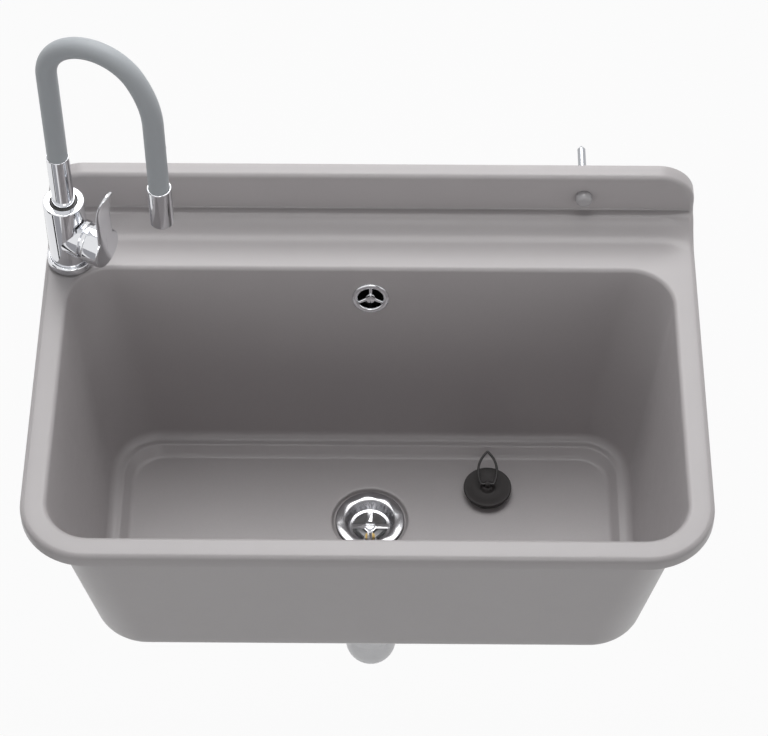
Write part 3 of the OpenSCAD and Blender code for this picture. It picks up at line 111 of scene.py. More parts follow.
def tint(red, green, blue):
    """Linear colour of a shade given as it is seen, in 0 to 255."""
    v = np.array([red, green, blue]) / 255.0
    return tuple(float(c) for c in np.where(v <= 0.04045, v / 12.92, ((v + 0.055) / 1.055) ** 2.4))


def heading(degrees):
    """Level direction that is turned by this angle from +X."""
    a = math.radians(degrees)
    return np.array([math.cos(a), math.sin(a), 0.0])


HOUSING_WAY = heading(-28)
SPOUT_WAY = heading(-20)
BRANCH_WAY = heading(225)


# Shapes as functions of two parameters, and sections as lists of radius and height along the axis


def net(points, loop_rows=False, loop_columns=True):
    """Grid of points as vertices and quads; a loop joins the last row or column to the first."""
    rows, columns = points.shape[:2]
    index = np.arange(rows * columns).reshape(rows, columns)
    if loop_rows:
        index = np.vstack([index, index[:1]])
    if loop_columns:
        index = np.hstack([index, index[:, :1]])
    quads = np.stack([index[:-1, :-1], index[:-1, 1:], index[1:, 1:], index[1:, :-1]], -1)
    return points.reshape(-1, 3), quads.reshape(-1, 4)


def curve(start, corner, end, t):
    """Curve that a corner pulls: (1 - t)^2 start + 2 t (1 - t) corner + t^2 end."""
    return (1 - t) ** 2 * start + 2 * t * (1 - t) * corner + t * t * end


def softened(line, radius, steps=4, loop=False):
    """Polyline whose corners become curves between two shoulders, which lie one radius away along the legs,
    or just short of a leg's middle where it is shorter."""
    line = np.asarray(line, float)
    p = np.vstack([line[-1:], line, line[:1]]) if loop else line
    a, b, c = p[:-2], p[1:-1], p[2:]
    la = np.linalg.norm(a - b, axis=1, keepdims=True)
    lc = np.linalg.norm(c - b, axis=1, keepdims=True)
    reach = np.minimum(radius, 0.48 * np.minimum(la, lc))
    start, end = b + (a - b) / la * reach, b + (c - b) / lc * reach
    t = np.linspace(0, 1, steps + 1)[None, :, None]
    arcs = curve(start[:, None], b[:, None], end[:, None], t).reshape(-1, p.shape[1])
    return arcs if loop else np.vstack([p[:1], arcs, p[-1:]])


def closed(section, soft, steps=4):
    """Closed section with soft corners."""
    return softened(section, soft, steps, loop=True)


def ring(r_in, r_out, low, high, soft):
    """Closed section of a tube from low to high, with soft edges."""
    return closed([(r_in, low), (r_out, low), (r_out, high), (r_in, high)], soft, 3)


def laid(points, origin, axis, side):
    """Local x, y and z laid along side, axis x side and axis, from an origin."""
    return points @ np.stack([side, np.cross(axis, side), axis]) + np.asarray(origin, float)


def turned(section, origin, axis=Z, side=X, count=72, wave=None, loop=True):
    """Surface of turning: (r cos a, r sin a, h) for the section's radius r and height h and the angle a.
    A wave may change r by h and a, for a thread or grips."""
    section = np.asarray(section, float)
    a = np.linspace(0, 2 * np.pi, count, endpoint=False)[None, :]
    r, h = section[:, :1] + 0 * a, section[:, 1:] + 0 * a
    if wave is not None:
        r = wave(r, h, a)
    points = np.stack([r * np.cos(a), r * np.sin(a), h], -1)
    return net(laid(points, origin, axis, side), loop_rows=loop)


def thread(pitch, depth, low, high):
    """Wave of a screw thread: between low and high the outer wall drops by the depth times
    0.5 - 0.5 cos of the helix angle."""
    def wave(r, h, a):
        turn = 2 * np.pi * h / pitch - a
        cut = (h > low) & (h < high) & (r > 0.9 * r.max())
        return r - np.where(cut, depth * (0.5 - 0.5 * np.cos(turn)), 0.0)
    return wave


def grips(count, depth, low, high, sharp):
    """Wave of grip ribs: between low and high the outer wall drops by the depth times
    1 - |cos(n a / 2)|^sharp."""
    def wave(r, h, a):
        cut = (h > low) & (h < high) & (r > 0.85 * r.max())
        return r - np.where(cut, depth * (1 - np.abs(np.cos(count * a / 2)) ** sharp), 0.0)
    return wave


def tube(line, inward, across, radius, count):
    """Rings round a line: C + r (cos a N + sin a B), with N inward and B across. The last joins the first."""
    a = np.linspace(0, 2 * np.pi, count, endpoint=False)[None, :, None]
    r = np.reshape(radius, (-1, 1, 1))
    return net(line[:, None] + r * (np.cos(a) * inward[:, None] + np.sin(a) * across), loop_rows=True)


def hose(path, across, radius, count, bore):
    """Tube with a bore along an open path in one plane: out along the outer wall and back along the inner.
    Its inward direction is across x tangent."""
    tangent = np.gradient(path, axis=0)
    tangent /= np.linalg.norm(tangent, axis=1, keepdims=True)
    inward = np.cross(across, tangent)
    walls = np.concatenate([np.broadcast_to(radius, (len(path),)), np.full(len(path), bore)])
    return tube(np.vstack([path, path[::-1]]), np.vstack([inward, inward[::-1]]), across, walls, count)


def wire(path, across, radius, count):
    """Closed tube round a closed line in one plane."""
    tangent = np.roll(path, -1, 0) - np.roll(path, 1, 0)
    tangent /= np.linalg.norm(tangent, axis=1, keepdims=True)
    return tube(path, np.cross(across, tangent), across, radius, count)


def arc(centre, start, end, last, steps):
    """Points centre + cos a start + sin a end for a from 0 to last, in degrees."""
    a = np.radians(np.linspace(0, last, steps))[:, None]
    return centre + np.cos(a) * start + np.sin(a) * end


def slab(outline, low, high, soft, origin, side):
    """Level plate of an outline: rings of the outline, drawn in by a quarter circle at both edges and lifted
    from low to high, closed by a fan to its middle."""
    outline = np.asarray(outline, float)
    middle = outline.mean(0)
    size = np.linalg.norm(outline - middle, axis=1).mean()
    t = np.linspace(0, np.pi / 2, 5)
    inset = np.concatenate([[size], soft * (1 - np.sin(t)), soft * (1 - np.cos(t)), [size]])
    height = np.concatenate([[low], low + soft * (1 - np.cos(t)), high - soft * (1 - np.sin(t)), [high]])
    flat = middle + (outline - middle) * (1 - inset / size)[:, None, None]
    lift = np.broadcast_to(height[:, None, None], flat.shape[:2] + (1,))
    return net(laid(np.concatenate([flat, lift], -1), origin, Z, side))


def signed_power(value, power):
    """Sign of the value times |value|^power, which squares or sharpens a circle's sine and cosine."""
    return np.sign(value) * np.abs(value) ** power


# Objects, with their lengths in metres and angles in degrees

MERGE = 2e-6
COLLAPSED = 1e-7
SHARP = 34.0
EASED_SHARP = 40.0
FLAT_ANGLE = 1.0
BEVEL_ANGLE = 32.0


def mesh_of(name, points, quads):
    """Mesh of points in metres."""
    mesh = bpy.data.meshes.new(name)
    mesh.from_pydata(points.tolist(), [], quads.tolist())
    return mesh


def linked(name, data):
    """New object in the scene."""
    thing = bpy.data.objects.new(name, data)
    bpy.context.scene.collection.objects.link(thing)
    return thing


def smooth(mesh, sharp):
    """Smooth faces, with edges where they meet at more than the sharp angle."""
    mesh.shade_smooth()
    mesh.set_sharp_from_angle(angle=math.radians(sharp))


def make(name, shells, slot, node=None, body="fixed", sharp=SHARP):
    """One piece out of shells in millimetres, in a node's place, with its faces turned outwards."""
    start = np.cumsum([0] + [len(points) for points, _ in shells[:-1]])
    points = np.vstack([points for points, _ in shells]) * MM
    quads = np.vstack([quads + at for (_, quads), at in zip(shells, start)])
    return settle(name, mesh_of(name, points, quads), slot, node, body, sharp)


def settle(name, mesh, slot, node, body, sharp=SHARP, recalculate=True):
    """Puts a mesh into the scene as a piece of the object, without doubles."""
    bm = bmesh.new()
    bm.from_mesh(mesh)
    bmesh.ops.remove_doubles(bm, verts=bm.verts, dist=MERGE)
    bmesh.ops.dissolve_degenerate(bm, edges=bm.edges, dist=COLLAPSED)
    if recalculate:
        bmesh.ops.recalc_face_normals(bm, faces=bm.faces)
    bm.to_mesh(mesh)
    bm.free()
    smooth(mesh, sharp)
    piece = linked(name, mesh)
    mesh.materials.clear()
    mesh.materials.append(finish(slot))
    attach(piece, body)
    if node:
        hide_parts(node)
    return piece


def apply_modifiers(piece, sharp):
    """Replaces a piece's mesh by the one that its modifiers give."""
    graph = bpy.context.evaluated_depsgraph_get()
    mesh = bpy.data.meshes.new_from_object(piece.evaluated_get(graph))
    piece.modifiers.clear()
    piece.data = mesh
    smooth(mesh, sharp)


def eased(node, slot, width, body="fixed"):
    """Stands a merged copy of a node in its place, with its flat faces joined and its edges bevelled."""
    mesh = frame["nodes"][node].data.copy()
    mesh.name = node + "_eased"
    if mesh.has_custom_normals:
        mesh.attributes.remove(mesh.attributes["custom_normal"])
    bm = bmesh.new()
    bm.from_mesh(mesh)
    bmesh.ops.remove_doubles(bm, verts=bm.verts, dist=MERGE)
    bmesh.ops.dissolve_limit(
        bm, angle_limit=math.radians(FLAT_ANGLE), verts=bm.verts, edges=bm.edges)
    bm.to_mesh(mesh)
    bm.free()
    piece = settle(node + "_eased", mesh, slot, node, body, recalculate=False)
    bevel = piece.modifiers.new("Eased edges", "BEVEL")
    bevel.width = width * MM
    bevel.segments = 2
    bevel.limit_method = "ANGLE"
    bevel.angle_limit = math.radians(BEVEL_ANGLE)
    bevel.use_clamp_overlap = True
    apply_modifiers(piece, EASED_SHARP)


# Finishes

COLOUR, NUMBER = "NodeSocketColor", "NodeSocketFloat"
GREY = (0.5, 0.5, 0.5, 1.0)
WHITE = (1.0, 1.0, 1.0, 1.0)


def add(tree, kind, inputs=None, **settings):
    """New node with its settings, and inputs that are values or other nodes' sockets."""
    node = tree.nodes.new(kind)
    for key, value in settings.items():
        setattr(node, key, value)
    for key, value in (inputs or {}).items():
        if isinstance(value, bpy.types.NodeSocket):
            tree.links.new(value, node.inputs[key])
        else:
            node.inputs[key].default_value = value
    return node


def maths(tree, operation, a, b=0.0, c=0.0, clamp=False):
    """Result socket of a Math node."""
    return add(tree, "ShaderNodeMath", {0: a, 1: b, 2: c}, operation=operation, use_clamp=clamp).outputs[0]


def varied(tree, value, amount, middle):
    """Result socket of (value - 0.5) amount + middle."""
    return maths(tree, "MULTIPLY_ADD", maths(tree, "SUBTRACT", value, 0.5), amount, middle)


def mixed(tree, factor, a, b, blend="MIX"):
    """Result socket of a colour Mix node."""
    return add(tree, "ShaderNodeMix", {0: factor, 6: a, 7: b}, data_type="RGBA", blend_type=blend).outputs[2]


def shaded(tree, colour, level):
    """Result socket of a colour times a level."""
    tone = add(tree, "ShaderNodeCombineColor", {0: level, 1: level, 2: level}).outputs[0]
    return mixed(tree, 1.0, colour, tone, "MULTIPLY")


def noise(tree, where, scale, detail, roughness=0.5, distortion=0.0):
    """Result socket of a noise pattern."""
    return add(tree, "ShaderNodeTexNoise", {
        "Vector": where, "Scale": scale, "Detail": detail, "Roughness": roughness, "Distortion": distortion,
    }).outputs["Fac"]


def on_object(tree):
    """Socket of the Object coordinates."""
    return add(tree, "ShaderNodeTexCoord").outputs["Object"]


def emptied(owner):
    """Node tree of a material or world, without nodes."""
    owner.use_nodes = True
    owner.node_tree.nodes.clear()
    return owner.node_tree


def group(name, inputs, outputs):
    """Shader group with named sockets, the sockets that its inputs give, and its output node; or the group
    that is already there and twice nothing."""
    if name in bpy.data.node_groups:
        return bpy.data.node_groups[name], None, None
    tree = bpy.data.node_groups.new(name, "ShaderNodeTree")
    for label, kind, value in inputs:
        socket = tree.interface.new_socket(name=label, in_out="INPUT", socket_type=kind)
        socket.default_value = value
    for label, kind in outputs:
        tree.interface.new_socket(name=label, in_out="OUTPUT", socket_type=kind)
    return tree, tree.nodes.new("NodeGroupInput").outputs, tree.nodes.new("NodeGroupOutput")


def give(tree, result, sockets):
    """Links the sockets to the group's outputs of these names."""
    for name, socket in sockets.items():
        tree.links.new(socket, result.inputs[name])
    return tree


def moulded_group():
    """Moulded plastic: cloudy shade, fine pimpled grain, small flecks and a patchy sheen."""
    tree, given, result = group(
        "Moulded plastic",
        [("Colour", COLOUR, GREY), ("Shade", NUMBER, 0.05), ("Fleck", NUMBER, 0.05),
         ("Cloud scale", NUMBER, 9.0), ("Grain scale", NUMBER, 900.0), ("Roughness", NUMBER, 0.4),
         ("Roughness range", NUMBER, 0.1)],
        [("Colour", COLOUR), ("Roughness", NUMBER), ("Height", NUMBER)],
    )
    if given is None:
        return tree
    where = on_object(tree)
    cloud = noise(tree, where, given["Cloud scale"], 4.0, 0.6)
    grain = noise(tree, where, given["Grain scale"], 2.0)
    swirl = noise(tree, where, 38.0, 5.0, 0.65, 1.4)
    level = varied(tree, grain, given["Fleck"], varied(tree, cloud, given["Shade"], 1.0))
    return give(tree, result, {
        "Colour": shaded(tree, given["Colour"], level),
        "Roughness": varied(tree, swirl, given["Roughness range"], given["Roughness"]),
        "Height": maths(tree, "MULTIPLY_ADD", swirl, 0.35, grain),
    })


def metal_group():
    """Handled metal: wiped streaks in the roughness, a faint tarnish in the colour and fine lines in the
    height."""
    tree, given, result = group(
        "Handled metal",
        [("Colour", COLOUR, GREY), ("Tarnish", NUMBER, 0.08), ("Smear", NUMBER, 0.06),
         ("Roughness", NUMBER, 0.1), ("Line scale", NUMBER, 700.0)],
        [("Colour", COLOUR), ("Roughness", NUMBER), ("Height", NUMBER)],
    )
    if given is None:
        return tree
    where = on_object(tree)
    long = add(tree, "ShaderNodeMapping", {"Vector": where, "Scale": (1.0, 1.0, 0.18)}).outputs[0]
    smear = noise(tree, long, 55.0, 5.0, 0.6, 0.8)
    cloud = noise(tree, where, 18.0, 3.0)
    dull = maths(tree, "MULTIPLY", maths(tree, "SUBTRACT", cloud, 0.35, clamp=True), given["Tarnish"])
    return give(tree, result, {
        "Colour": shaded(tree, given["Colour"], maths(tree, "SUBTRACT", 1.0, dull)),
        "Roughness": maths(tree, "MULTIPLY_ADD", smear, given["Smear"], given["Roughness"]),
        "Height": noise(tree, long, given["Line scale"], 1.0),
    })


def wear_and_highlight_group():
    """Lighter edges, partly rubbed and partly painted highlight: where the surface turns outwards sharply,
    broken up by noise, the colour goes over to the lighter one."""
    tree, given, result = group(
        "Worn edges",
        [("Colour", COLOUR, GREY), ("Worn colour", COLOUR, GREY), ("Amount", NUMBER, 0.3),
         ("Start", NUMBER, 0.52)],
        [("Colour", COLOUR), ("Mask", NUMBER)],
    )
    if given is None:
        return tree
    # Sharp outward edges are lightened: partly rubbed edges, partly painted highlight
    bend = add(tree, "ShaderNodeNewGeometry").outputs["Pointiness"]
    patches = maths(tree, "MULTIPLY_ADD", noise(tree, on_object(tree), 140.0, 4.0), 1.4, -0.1, clamp=True)
    edge = maths(tree, "SUBTRACT", bend, given["Start"], clamp=True)
    edge = maths(tree, "MULTIPLY", edge, 14.0, clamp=True)
    mask = maths(tree, "MULTIPLY", maths(tree, "MULTIPLY", edge, patches), given["Amount"], clamp=True)
    return give(tree, result, {
        "Colour": mixed(tree, mask, given["Colour"], given["Worn colour"]),
        "Mask": mask,
    })


# Finish of each slot: surface kind, roughness, grain or line scale, bump depth in metres, shader constants
FINISHES = {
    "basin_plastic": ("plastic", 0.33, 1500.0, 0.00004, {"Specular IOR Level": 0.42}),
    "cap_plastic": ("plastic", 0.2, 1500.0, 0.00002, {}),
    "white_plastic": ("plastic", 0.34, 1200.0, 0.00003, {}),
    "pale_plastic": ("plastic", 0.38, 1200.0, 0.00003, {}),
    "blue_plastic": ("plastic", 0.36, 1400.0, 0.00003, {}),
    "black_plastic": ("plastic", 0.36, 1200.0, 0.00004, {}),
    "black_rubber": ("plastic", 0.58, 1100.0, 0.00006, {"Specular IOR Level": 0.35}),
    "grey_rubber": ("plastic", 0.6, 1100.0, 0.00006, {"Specular IOR Level": 0.35}),
    "hose_rubber": ("plastic", 0.48, 1700.0, 0.00004, {"Specular IOR Level": 0.4}),
    "liner_plastic": ("plastic", 0.4, 1200.0, 0.00002, {}),
    "ceramic": ("plastic", 0.25, 1500.0, 0.00001, {}),
    "chrome": ("metal", 0.035, 900.0, 0.000002, {}),
    "satin_steel": ("metal", 0.17, 600.0, 0.00001, {}),
    "screw_steel": ("metal", 0.26, 500.0, 0.00002, {}),
    "brass": ("metal", 0.24, 600.0, 0.00001, {}),
}
# How much lighter an edge gets, partly rubbed and partly painted highlight: a factor and a share of white
WEAR_AND_HIGHLIGHT = {"plastic": (1.25, 0.02), "metal": (1.06, 0.0)}


def finish(slot):
    """Material of a slot: the group of its surface kind, lighter edges that are partly rubbed and partly
    painted highlight, and a bump from the grain's height.
    """
    name = "finish_" + slot
    if name in bpy.data.materials:
        return bpy.data.materials[name]
    kind, roughness, scale, depth, constants = FINISHES[slot]
    colours = bpy.context.scene.laundry_sink.colours
    base = tuple(getattr(colours, slot)) + (1.0,)
    # Lighter edge colour: partly rubbed edges, partly painted highlight
    factor, lift = WEAR_AND_HIGHLIGHT[kind]
    wear_and_highlight_colour = tuple(min(1.0, c * factor + lift) for c in base[:3]) + (1.0,)
    material = bpy.data.materials.new(name)
    material.diffuse_color = base
    tree = emptied(material)
    given = {"Colour": base, "Roughness": roughness}
    if kind == "plastic":
        given |= {"Grain scale": scale, "Roughness range": 0.16}
        given |= {"Shade": colours.shade, "Fleck": colours.fleck}
        surface = add(tree, "ShaderNodeGroup", given, node_tree=moulded_group())
    else:
        given |= {"Line scale": scale, "Smear": 0.05}
        surface = add(tree, "ShaderNodeGroup", given, node_tree=metal_group())
    # Pointiness lightens the sharp edges: partly rubbed edges, partly painted highlight
    wear = add(tree, "ShaderNodeGroup", {
        "Colour": surface.outputs["Colour"], "Worn colour": wear_and_highlight_colour, "Amount": colours.wear,
    }, node_tree=wear_and_highlight_group())
    bump = add(tree, "ShaderNodeBump", {
        "Height": surface.outputs["Height"], "Strength": 1.0, "Distance": depth})
    shader = add(tree, "ShaderNodeBsdfPrincipled", {
        "Base Color": wear.outputs["Colour"], "Roughness": surface.outputs["Roughness"],
        "Normal": bump.outputs[0], "Metallic": 1.0 if kind == "metal" else 0.0,
    } | constants)
    end = add(tree, "ShaderNodeOutputMaterial", {"Surface": shader.outputs[0]})
    for at, node in enumerate((surface, wear, bump, shader, end)):
        node.location = (220 * at, 0)
    return material


# Sizes and colours that a user would change


def length(name, description, default, low=0.0):
    """Length in metres."""
    return FloatProperty(name=name, description=description, default=default, min=low, unit="LENGTH")


def power(name, description, default):
    """Power of a lamp in watts."""
    return FloatProperty(name=name, description=description, default=default, min=0.0, unit="POWER")


def share(name, description, default):
    """Plain number from 0."""
    return FloatProperty(name=name, description=description, default=default, min=0.0)


def hue(name, description, *seen):
    """Colour whose default is given as it is seen, in 0 to 255."""
    return FloatVectorProperty(name=name, description=description, default=tint(*seen), size=3, min=0.0,
                               max=1.0, subtype="COLOR")


class SinkSizes(bpy.types.PropertyGroup):
    """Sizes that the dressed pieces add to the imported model."""

    wall: length("Wall", "Thickness of the moulded shell", 0.0048)
    rim_roll: length("Rim roll", "Radius of the rolled edge of the rim and the upstand", 0.005)
    mouth_round: length("Mouth round", "Radius where the rim turns down into the bowl", 0.004)
    floor_fillet: length("Floor fillet", "Radius between the walls of the bowl and its floor", 0.008)
    rib_depth: length("Rib depth", "Height of the ribs of the overflow hose", 0.0019)
    rib_pitch: length("Rib pitch", "Distance between the ribs of the overflow hose", 0.0075)
    thread_pitch: length("Thread pitch", "Pitch of the thread on the tap's tail", 0.0018)
    sides: IntProperty(name="Sides", description="Facets round a turned piece", default=96, min=24, max=160)


class SinkColours(bpy.types.PropertyGroup):
    """Colours of the finishes, and how strongly their surfaces vary."""

    basin_plastic: hue("Basin", "Moulded plastic of the basin", 178, 174, 175)
    cap_plastic: hue("Caps", "Domed caps over the wall screws", 172, 170, 172)
    white_plastic: hue("White plastic", "Waste, trap, hose and bracket", 238, 238, 240)
    pale_plastic: hue("Pale plastic", "Smooth tube of the overflow", 196, 197, 199)
    blue_plastic: hue("Blue plastic", "Stopper of the appliance branch", 30, 38, 98)
    black_plastic: hue("Black plastic", "Overflow elbow and the plug's loop", 46, 44, 44)
    black_rubber: hue("Black rubber", "Plug and gaskets", 50, 47, 47)
    grey_rubber: hue("Grey rubber", "Seal of the union nut", 84, 84, 86)
    hose_rubber: hue("Hose cover", "Soft cover of the spout", 170, 174, 178)
    liner_plastic: hue("Liner", "Pipe inside the soft cover", 200, 200, 202)
    ceramic: hue("Ceramic", "Cartridge", 216, 212, 202)
    chrome: hue("Chrome", "Tap and rosette", 226, 227, 230)
    satin_steel: hue("Satin steel", "Strainer and spray insert", 196, 196, 199)
    screw_steel: hue("Screw steel", "Screws and washers", 170, 172, 176)
    brass: hue("Brass", "Threaded tail and nut of the tap", 206, 176, 112)
    shade: share("Shade", "Cloudy change of shade over a plastic piece", 0.06)
    fleck: share("Fleck", "Fine light and dark flecks in the plastic", 0.16)
    # Share of the lighter edges: partly rubbed edges, partly painted highlight
    wear: share("Wear", "Share of wear along the edges", 0.35)


class SinkStage(bpy.types.PropertyGroup):
    """Camera, lamps, surroundings and floor."""

    lens: FloatProperty(name="Lens", description="Focal length on a 36 mm sensor", default=130.03,
                        unit="CAMERA")
    lift: length("Lift", "How far the camera moves up its own frame, so that the spout is in view", 0.13)
    top_lamp: power("Top lamp", "Power of the large lamp above the wall", 57.0)
    front_lamp: power("Front lamp", "Power of the weak lamp in front", 0.6)
    sheen_lamp: power("Sheen lamp", "Power of the lamp in front that shows only as gloss", 6.0)
    sky: share("Sky", "Strength of the light of the surroundings", 1.12)
    floor_height: length("Floor height", "Height of the floor", -0.884, -10.0)
    floor_colour: hue("Floor", "Pale floor", 238, 238, 239)
    floor_bounce: share("Floor bounce", "Share of its colour with which the floor lights the object", 0.12)


class SinkSettings(bpy.types.PropertyGroup):
    """All settings of the laundry sink."""

    sizes: PointerProperty(type=SinkSizes)
    colours: PointerProperty(type=SinkColours)
    stage: PointerProperty(type=SinkStage)


def sizes():
    """Lengths in millimetres, and the number of sides."""
    given = bpy.context.scene.laundry_sink.sizes
    names = [n for n in SinkSizes.__annotations__ if n != "sides"]
    return {n: getattr(given, n) / MM for n in names} | {"sides": given.sides}


# Basin

BACK_STEPS, SIDE_STEPS, CORNER_STEPS, FRONT_STEPS, ROLL_STEPS = 120, 56, 18, 96, 7


def deck_line():
    """Anchors on the inner deck line, from the back left corner clockwise as seen from above."""
    half, back, front, r = HALF_W - BORDER, DECK_Y, FRONT_Y + BORDER, RIM_R - BORDER
    x_in, y_in = half - r, front + r
    line = np.linspace(-half, half, BACK_STEPS + 1)[:-1]
    side = np.linspace(back, y_in, SIDE_STEPS + 1)[:-1]
    rising = np.linspace(y_in, back, SIDE_STEPS + 1)[:-1]
    flat = np.linspace(x_in, -x_in, FRONT_STEPS + 1)[:-1]
    a = np.radians(np.linspace(0, 90, CORNER_STEPS + 1)[:-1])
    return np.vstack([
        np.stack([line, np.full_like(line, back)], 1),
        np.stack([np.full_like(side, half), side], 1),
        np.stack([x_in + r * np.cos(a), y_in - r * np.sin(a)], 1),
        np.stack([flat, np.full_like(flat, front)], 1),
        np.stack([-x_in - r * np.sin(a), y_in - r * np.cos(a)], 1),
        np.stack([np.full_like(rising, -half), rising], 1),
    ])


def level_points(anchors, half_w, back, front, r, z):
    """Point of a rounded rectangle nearest to each anchor: the anchor is held inside the rectangle of the
    corner centres and pushed out by the corner radius."""
    x = np.clip(anchors[:, 0], -half_w + r, half_w - r)
    y = np.clip(anchors[:, 1], front + r, back - r)
    way = anchors - np.stack([x, y], 1)
    way /= np.linalg.norm(way, axis=1, keepdims=True)
    return np.stack([x + r * way[:, 0], y + r * way[:, 1], np.full(len(x), z)], 1)


def bowl_rows(anchors, s):
    """Rows from the deck down the leaning walls, over the margin and the sunken floor to the drain hole. The
    inset and the depth of each row follow quarter circles at the mouth and the foot, and the outline shrinks
    with depth while its corners grow."""
    mouth, fillet, drop = s["mouth_round"], s["floor_fillet"], RIM_Z - FLOOR_Z
    t = np.radians(np.linspace(0, 90, 8))
    rows = [(-mouth * (1 - math.sin(a)), mouth * (1 - math.cos(a))) for a in t]
    rows += [(0.0, d) for d in np.linspace(mouth, BOWL_DEPTH - fillet, 26)[1:]]
    rows += [(fillet * (1 - math.cos(a)), BOWL_DEPTH - fillet * (1 - math.sin(a))) for a in t[1:]]
    levels = [np.column_stack([anchors, np.full(len(anchors), RIM_Z)])]
    for inset, depth in rows:
        sunk = depth / BOWL_DEPTH
        levels.append(level_points(
            anchors, BOWL_HALF_W - LEAN_X * sunk - inset, BOWL_BACK - LEAN_Y * sunk - inset,
            BOWL_FRONT + LEAN_Y * sunk + inset, BOWL_R + BOWL_R_GROWTH * sunk - inset, RIM_Z - depth))
    for inset, depth in softened([(-2.5, BOWL_DEPTH), (0.4, BOWL_DEPTH), (8.6, drop), (16, drop)], 4.5, 6):
        levels.append(level_points(anchors, SUNK_HALF_W - inset, SUNK_BACK - inset, SUNK_FRONT + inset,
                                   SUNK_R - inset / 2, RIM_Z - depth))
    last = levels[-1]
    way = last[:, :2] - DRAIN
    way /= np.linalg.norm(way, axis=1, keepdims=True)
    seat = softened([(44, FLOOR_Z), (39, FLOOR_Z), (37.2, SEAT_Z), (27, SEAT_Z)], 1.6, 4)
    rings = [np.column_stack([DRAIN + r * way, np.full(len(way), z)]) for r, z in seat]
    levels += [last + (rings[0] - last) * part for part in (0.2, 0.4, 0.6, 0.8)]
    return np.stack(levels + rings)


def roll(base, out, normal, radius):
    """Quarter circle from a base line: base + r sin a out - r (1 - cos a) normal."""
    a = np.radians(np.linspace(0, 90, ROLL_STEPS))[:, None, None]
    return base + radius * np.sin(a) * out - radius * (1 - np.cos(a)) * normal


def rim_rows(anchors, s):
    """Rows from the deck line outwards over the rolled edge and down the lip. The way out is from the nearest
    point of the rectangle of the corner centres."""
    r = s["rim_roll"]
    line = anchors[np.r_[BACK_STEPS:len(anchors), 0]]
    half, front, corner = HALF_W - BORDER, FRONT_Y + BORDER, RIM_R - BORDER
    core_x = np.clip(line[:, 0], -half + corner, half - corner)
    out = line - np.stack([core_x, np.maximum(line[:, 1], front + corner)], 1)
    out = np.column_stack([out / np.linalg.norm(out, axis=1, keepdims=True), np.zeros(len(out))])
    deck = np.column_stack([line, np.full(len(line), RIM_Z)])
    flat = [deck + d * out for d in (0.0, (BORDER - r) / 2)]
    edge = roll(deck + (BORDER - r) * out, out, Z, r)
    foot = edge[-1].copy()
    foot[:, 2] = RIM_Z - LIP_DROP
    return np.stack(flat + list(edge) + [(edge[-1] + foot) / 2, foot])


def ledge_profile(ramp):
    """Distance from the wall and height above the rim: from the deck over the cove's circle, or the parabola
    of its end ramp, then the crest, the strip and the fillet to the foot of the upstand's face."""
    if ramp:
        toe, shoulder = RAMP_TOE, 18.4
        t = np.linspace(0, 0.75, 12)
        rise = np.stack([toe - (toe - CREST[0]) * t, CREST[1] * t * t], 1)
    else:
        toe, shoulder = COVE_TOE, 22.6
        a = math.radians(COVE_ANGLE) * np.linspace(0, 0.93, 12)
        rise = np.stack([toe - COVE_R * np.sin(a), COVE_R - COVE_R * np.cos(a)], 1)
    deck = np.stack([np.linspace(-DECK_Y, toe, 4)[:-1], np.zeros(3)], 1)
    u = np.linspace(0, 1, 7)[1:, None]
    crest = curve(rise[-1], CREST, np.array([shoulder, CREST[1]]), u)
    return np.vstack([deck, rise, crest, LEDGE_FOOT[:1], curve(*LEDGE_FOOT, u)])


def ledge_points(x):
    """Cove profile that goes over to the ramp by the smooth step 3 w^2 - 2 w^3 in x, for columns x."""
    cove, ramp = ledge_profile(False), ledge_profile(True)
    ramp_w = 32
    w = np.clip((np.abs(x) - (HALF_W - ramp_w)) / ramp_w, 0, 1)
    w = (w * w * (3 - 2 * w))[None, :, None]
    line = (1 - w) * cove[:, None] + w * ramp[:, None]
    return np.stack([np.broadcast_to(x, line.shape[:2]), -line[..., 0], RIM_Z + line[..., 1]], -1)


def upstand_rows(xi):
    """Rows of the ledge and of the upstand's face up to its inner outline, whose top corners are round, for
    columns from -1 to 1."""
    r, low, z_in = PANEL_R - BORDER, RIM_Z + LEDGE_FOOT[-1, 1], PANEL_TOP - PANEL_R
    a = np.radians(np.linspace(0, 90, 13))
    z = np.concatenate([np.linspace(low, z_in, 4)[1:-1], z_in + r * np.sin(a)])
    half = np.concatenate([np.full(2, HALF_W - BORDER), HALF_W - PANEL_R + r * np.cos(a)])
    face = [half[:, None] * xi, np.full((len(z), len(xi)), PANEL_Y), np.repeat(z[:, None], len(xi), 1)]
    return np.concatenate([ledge_points(xi * (HALF_W - BORDER)), np.stack(face, -1)])


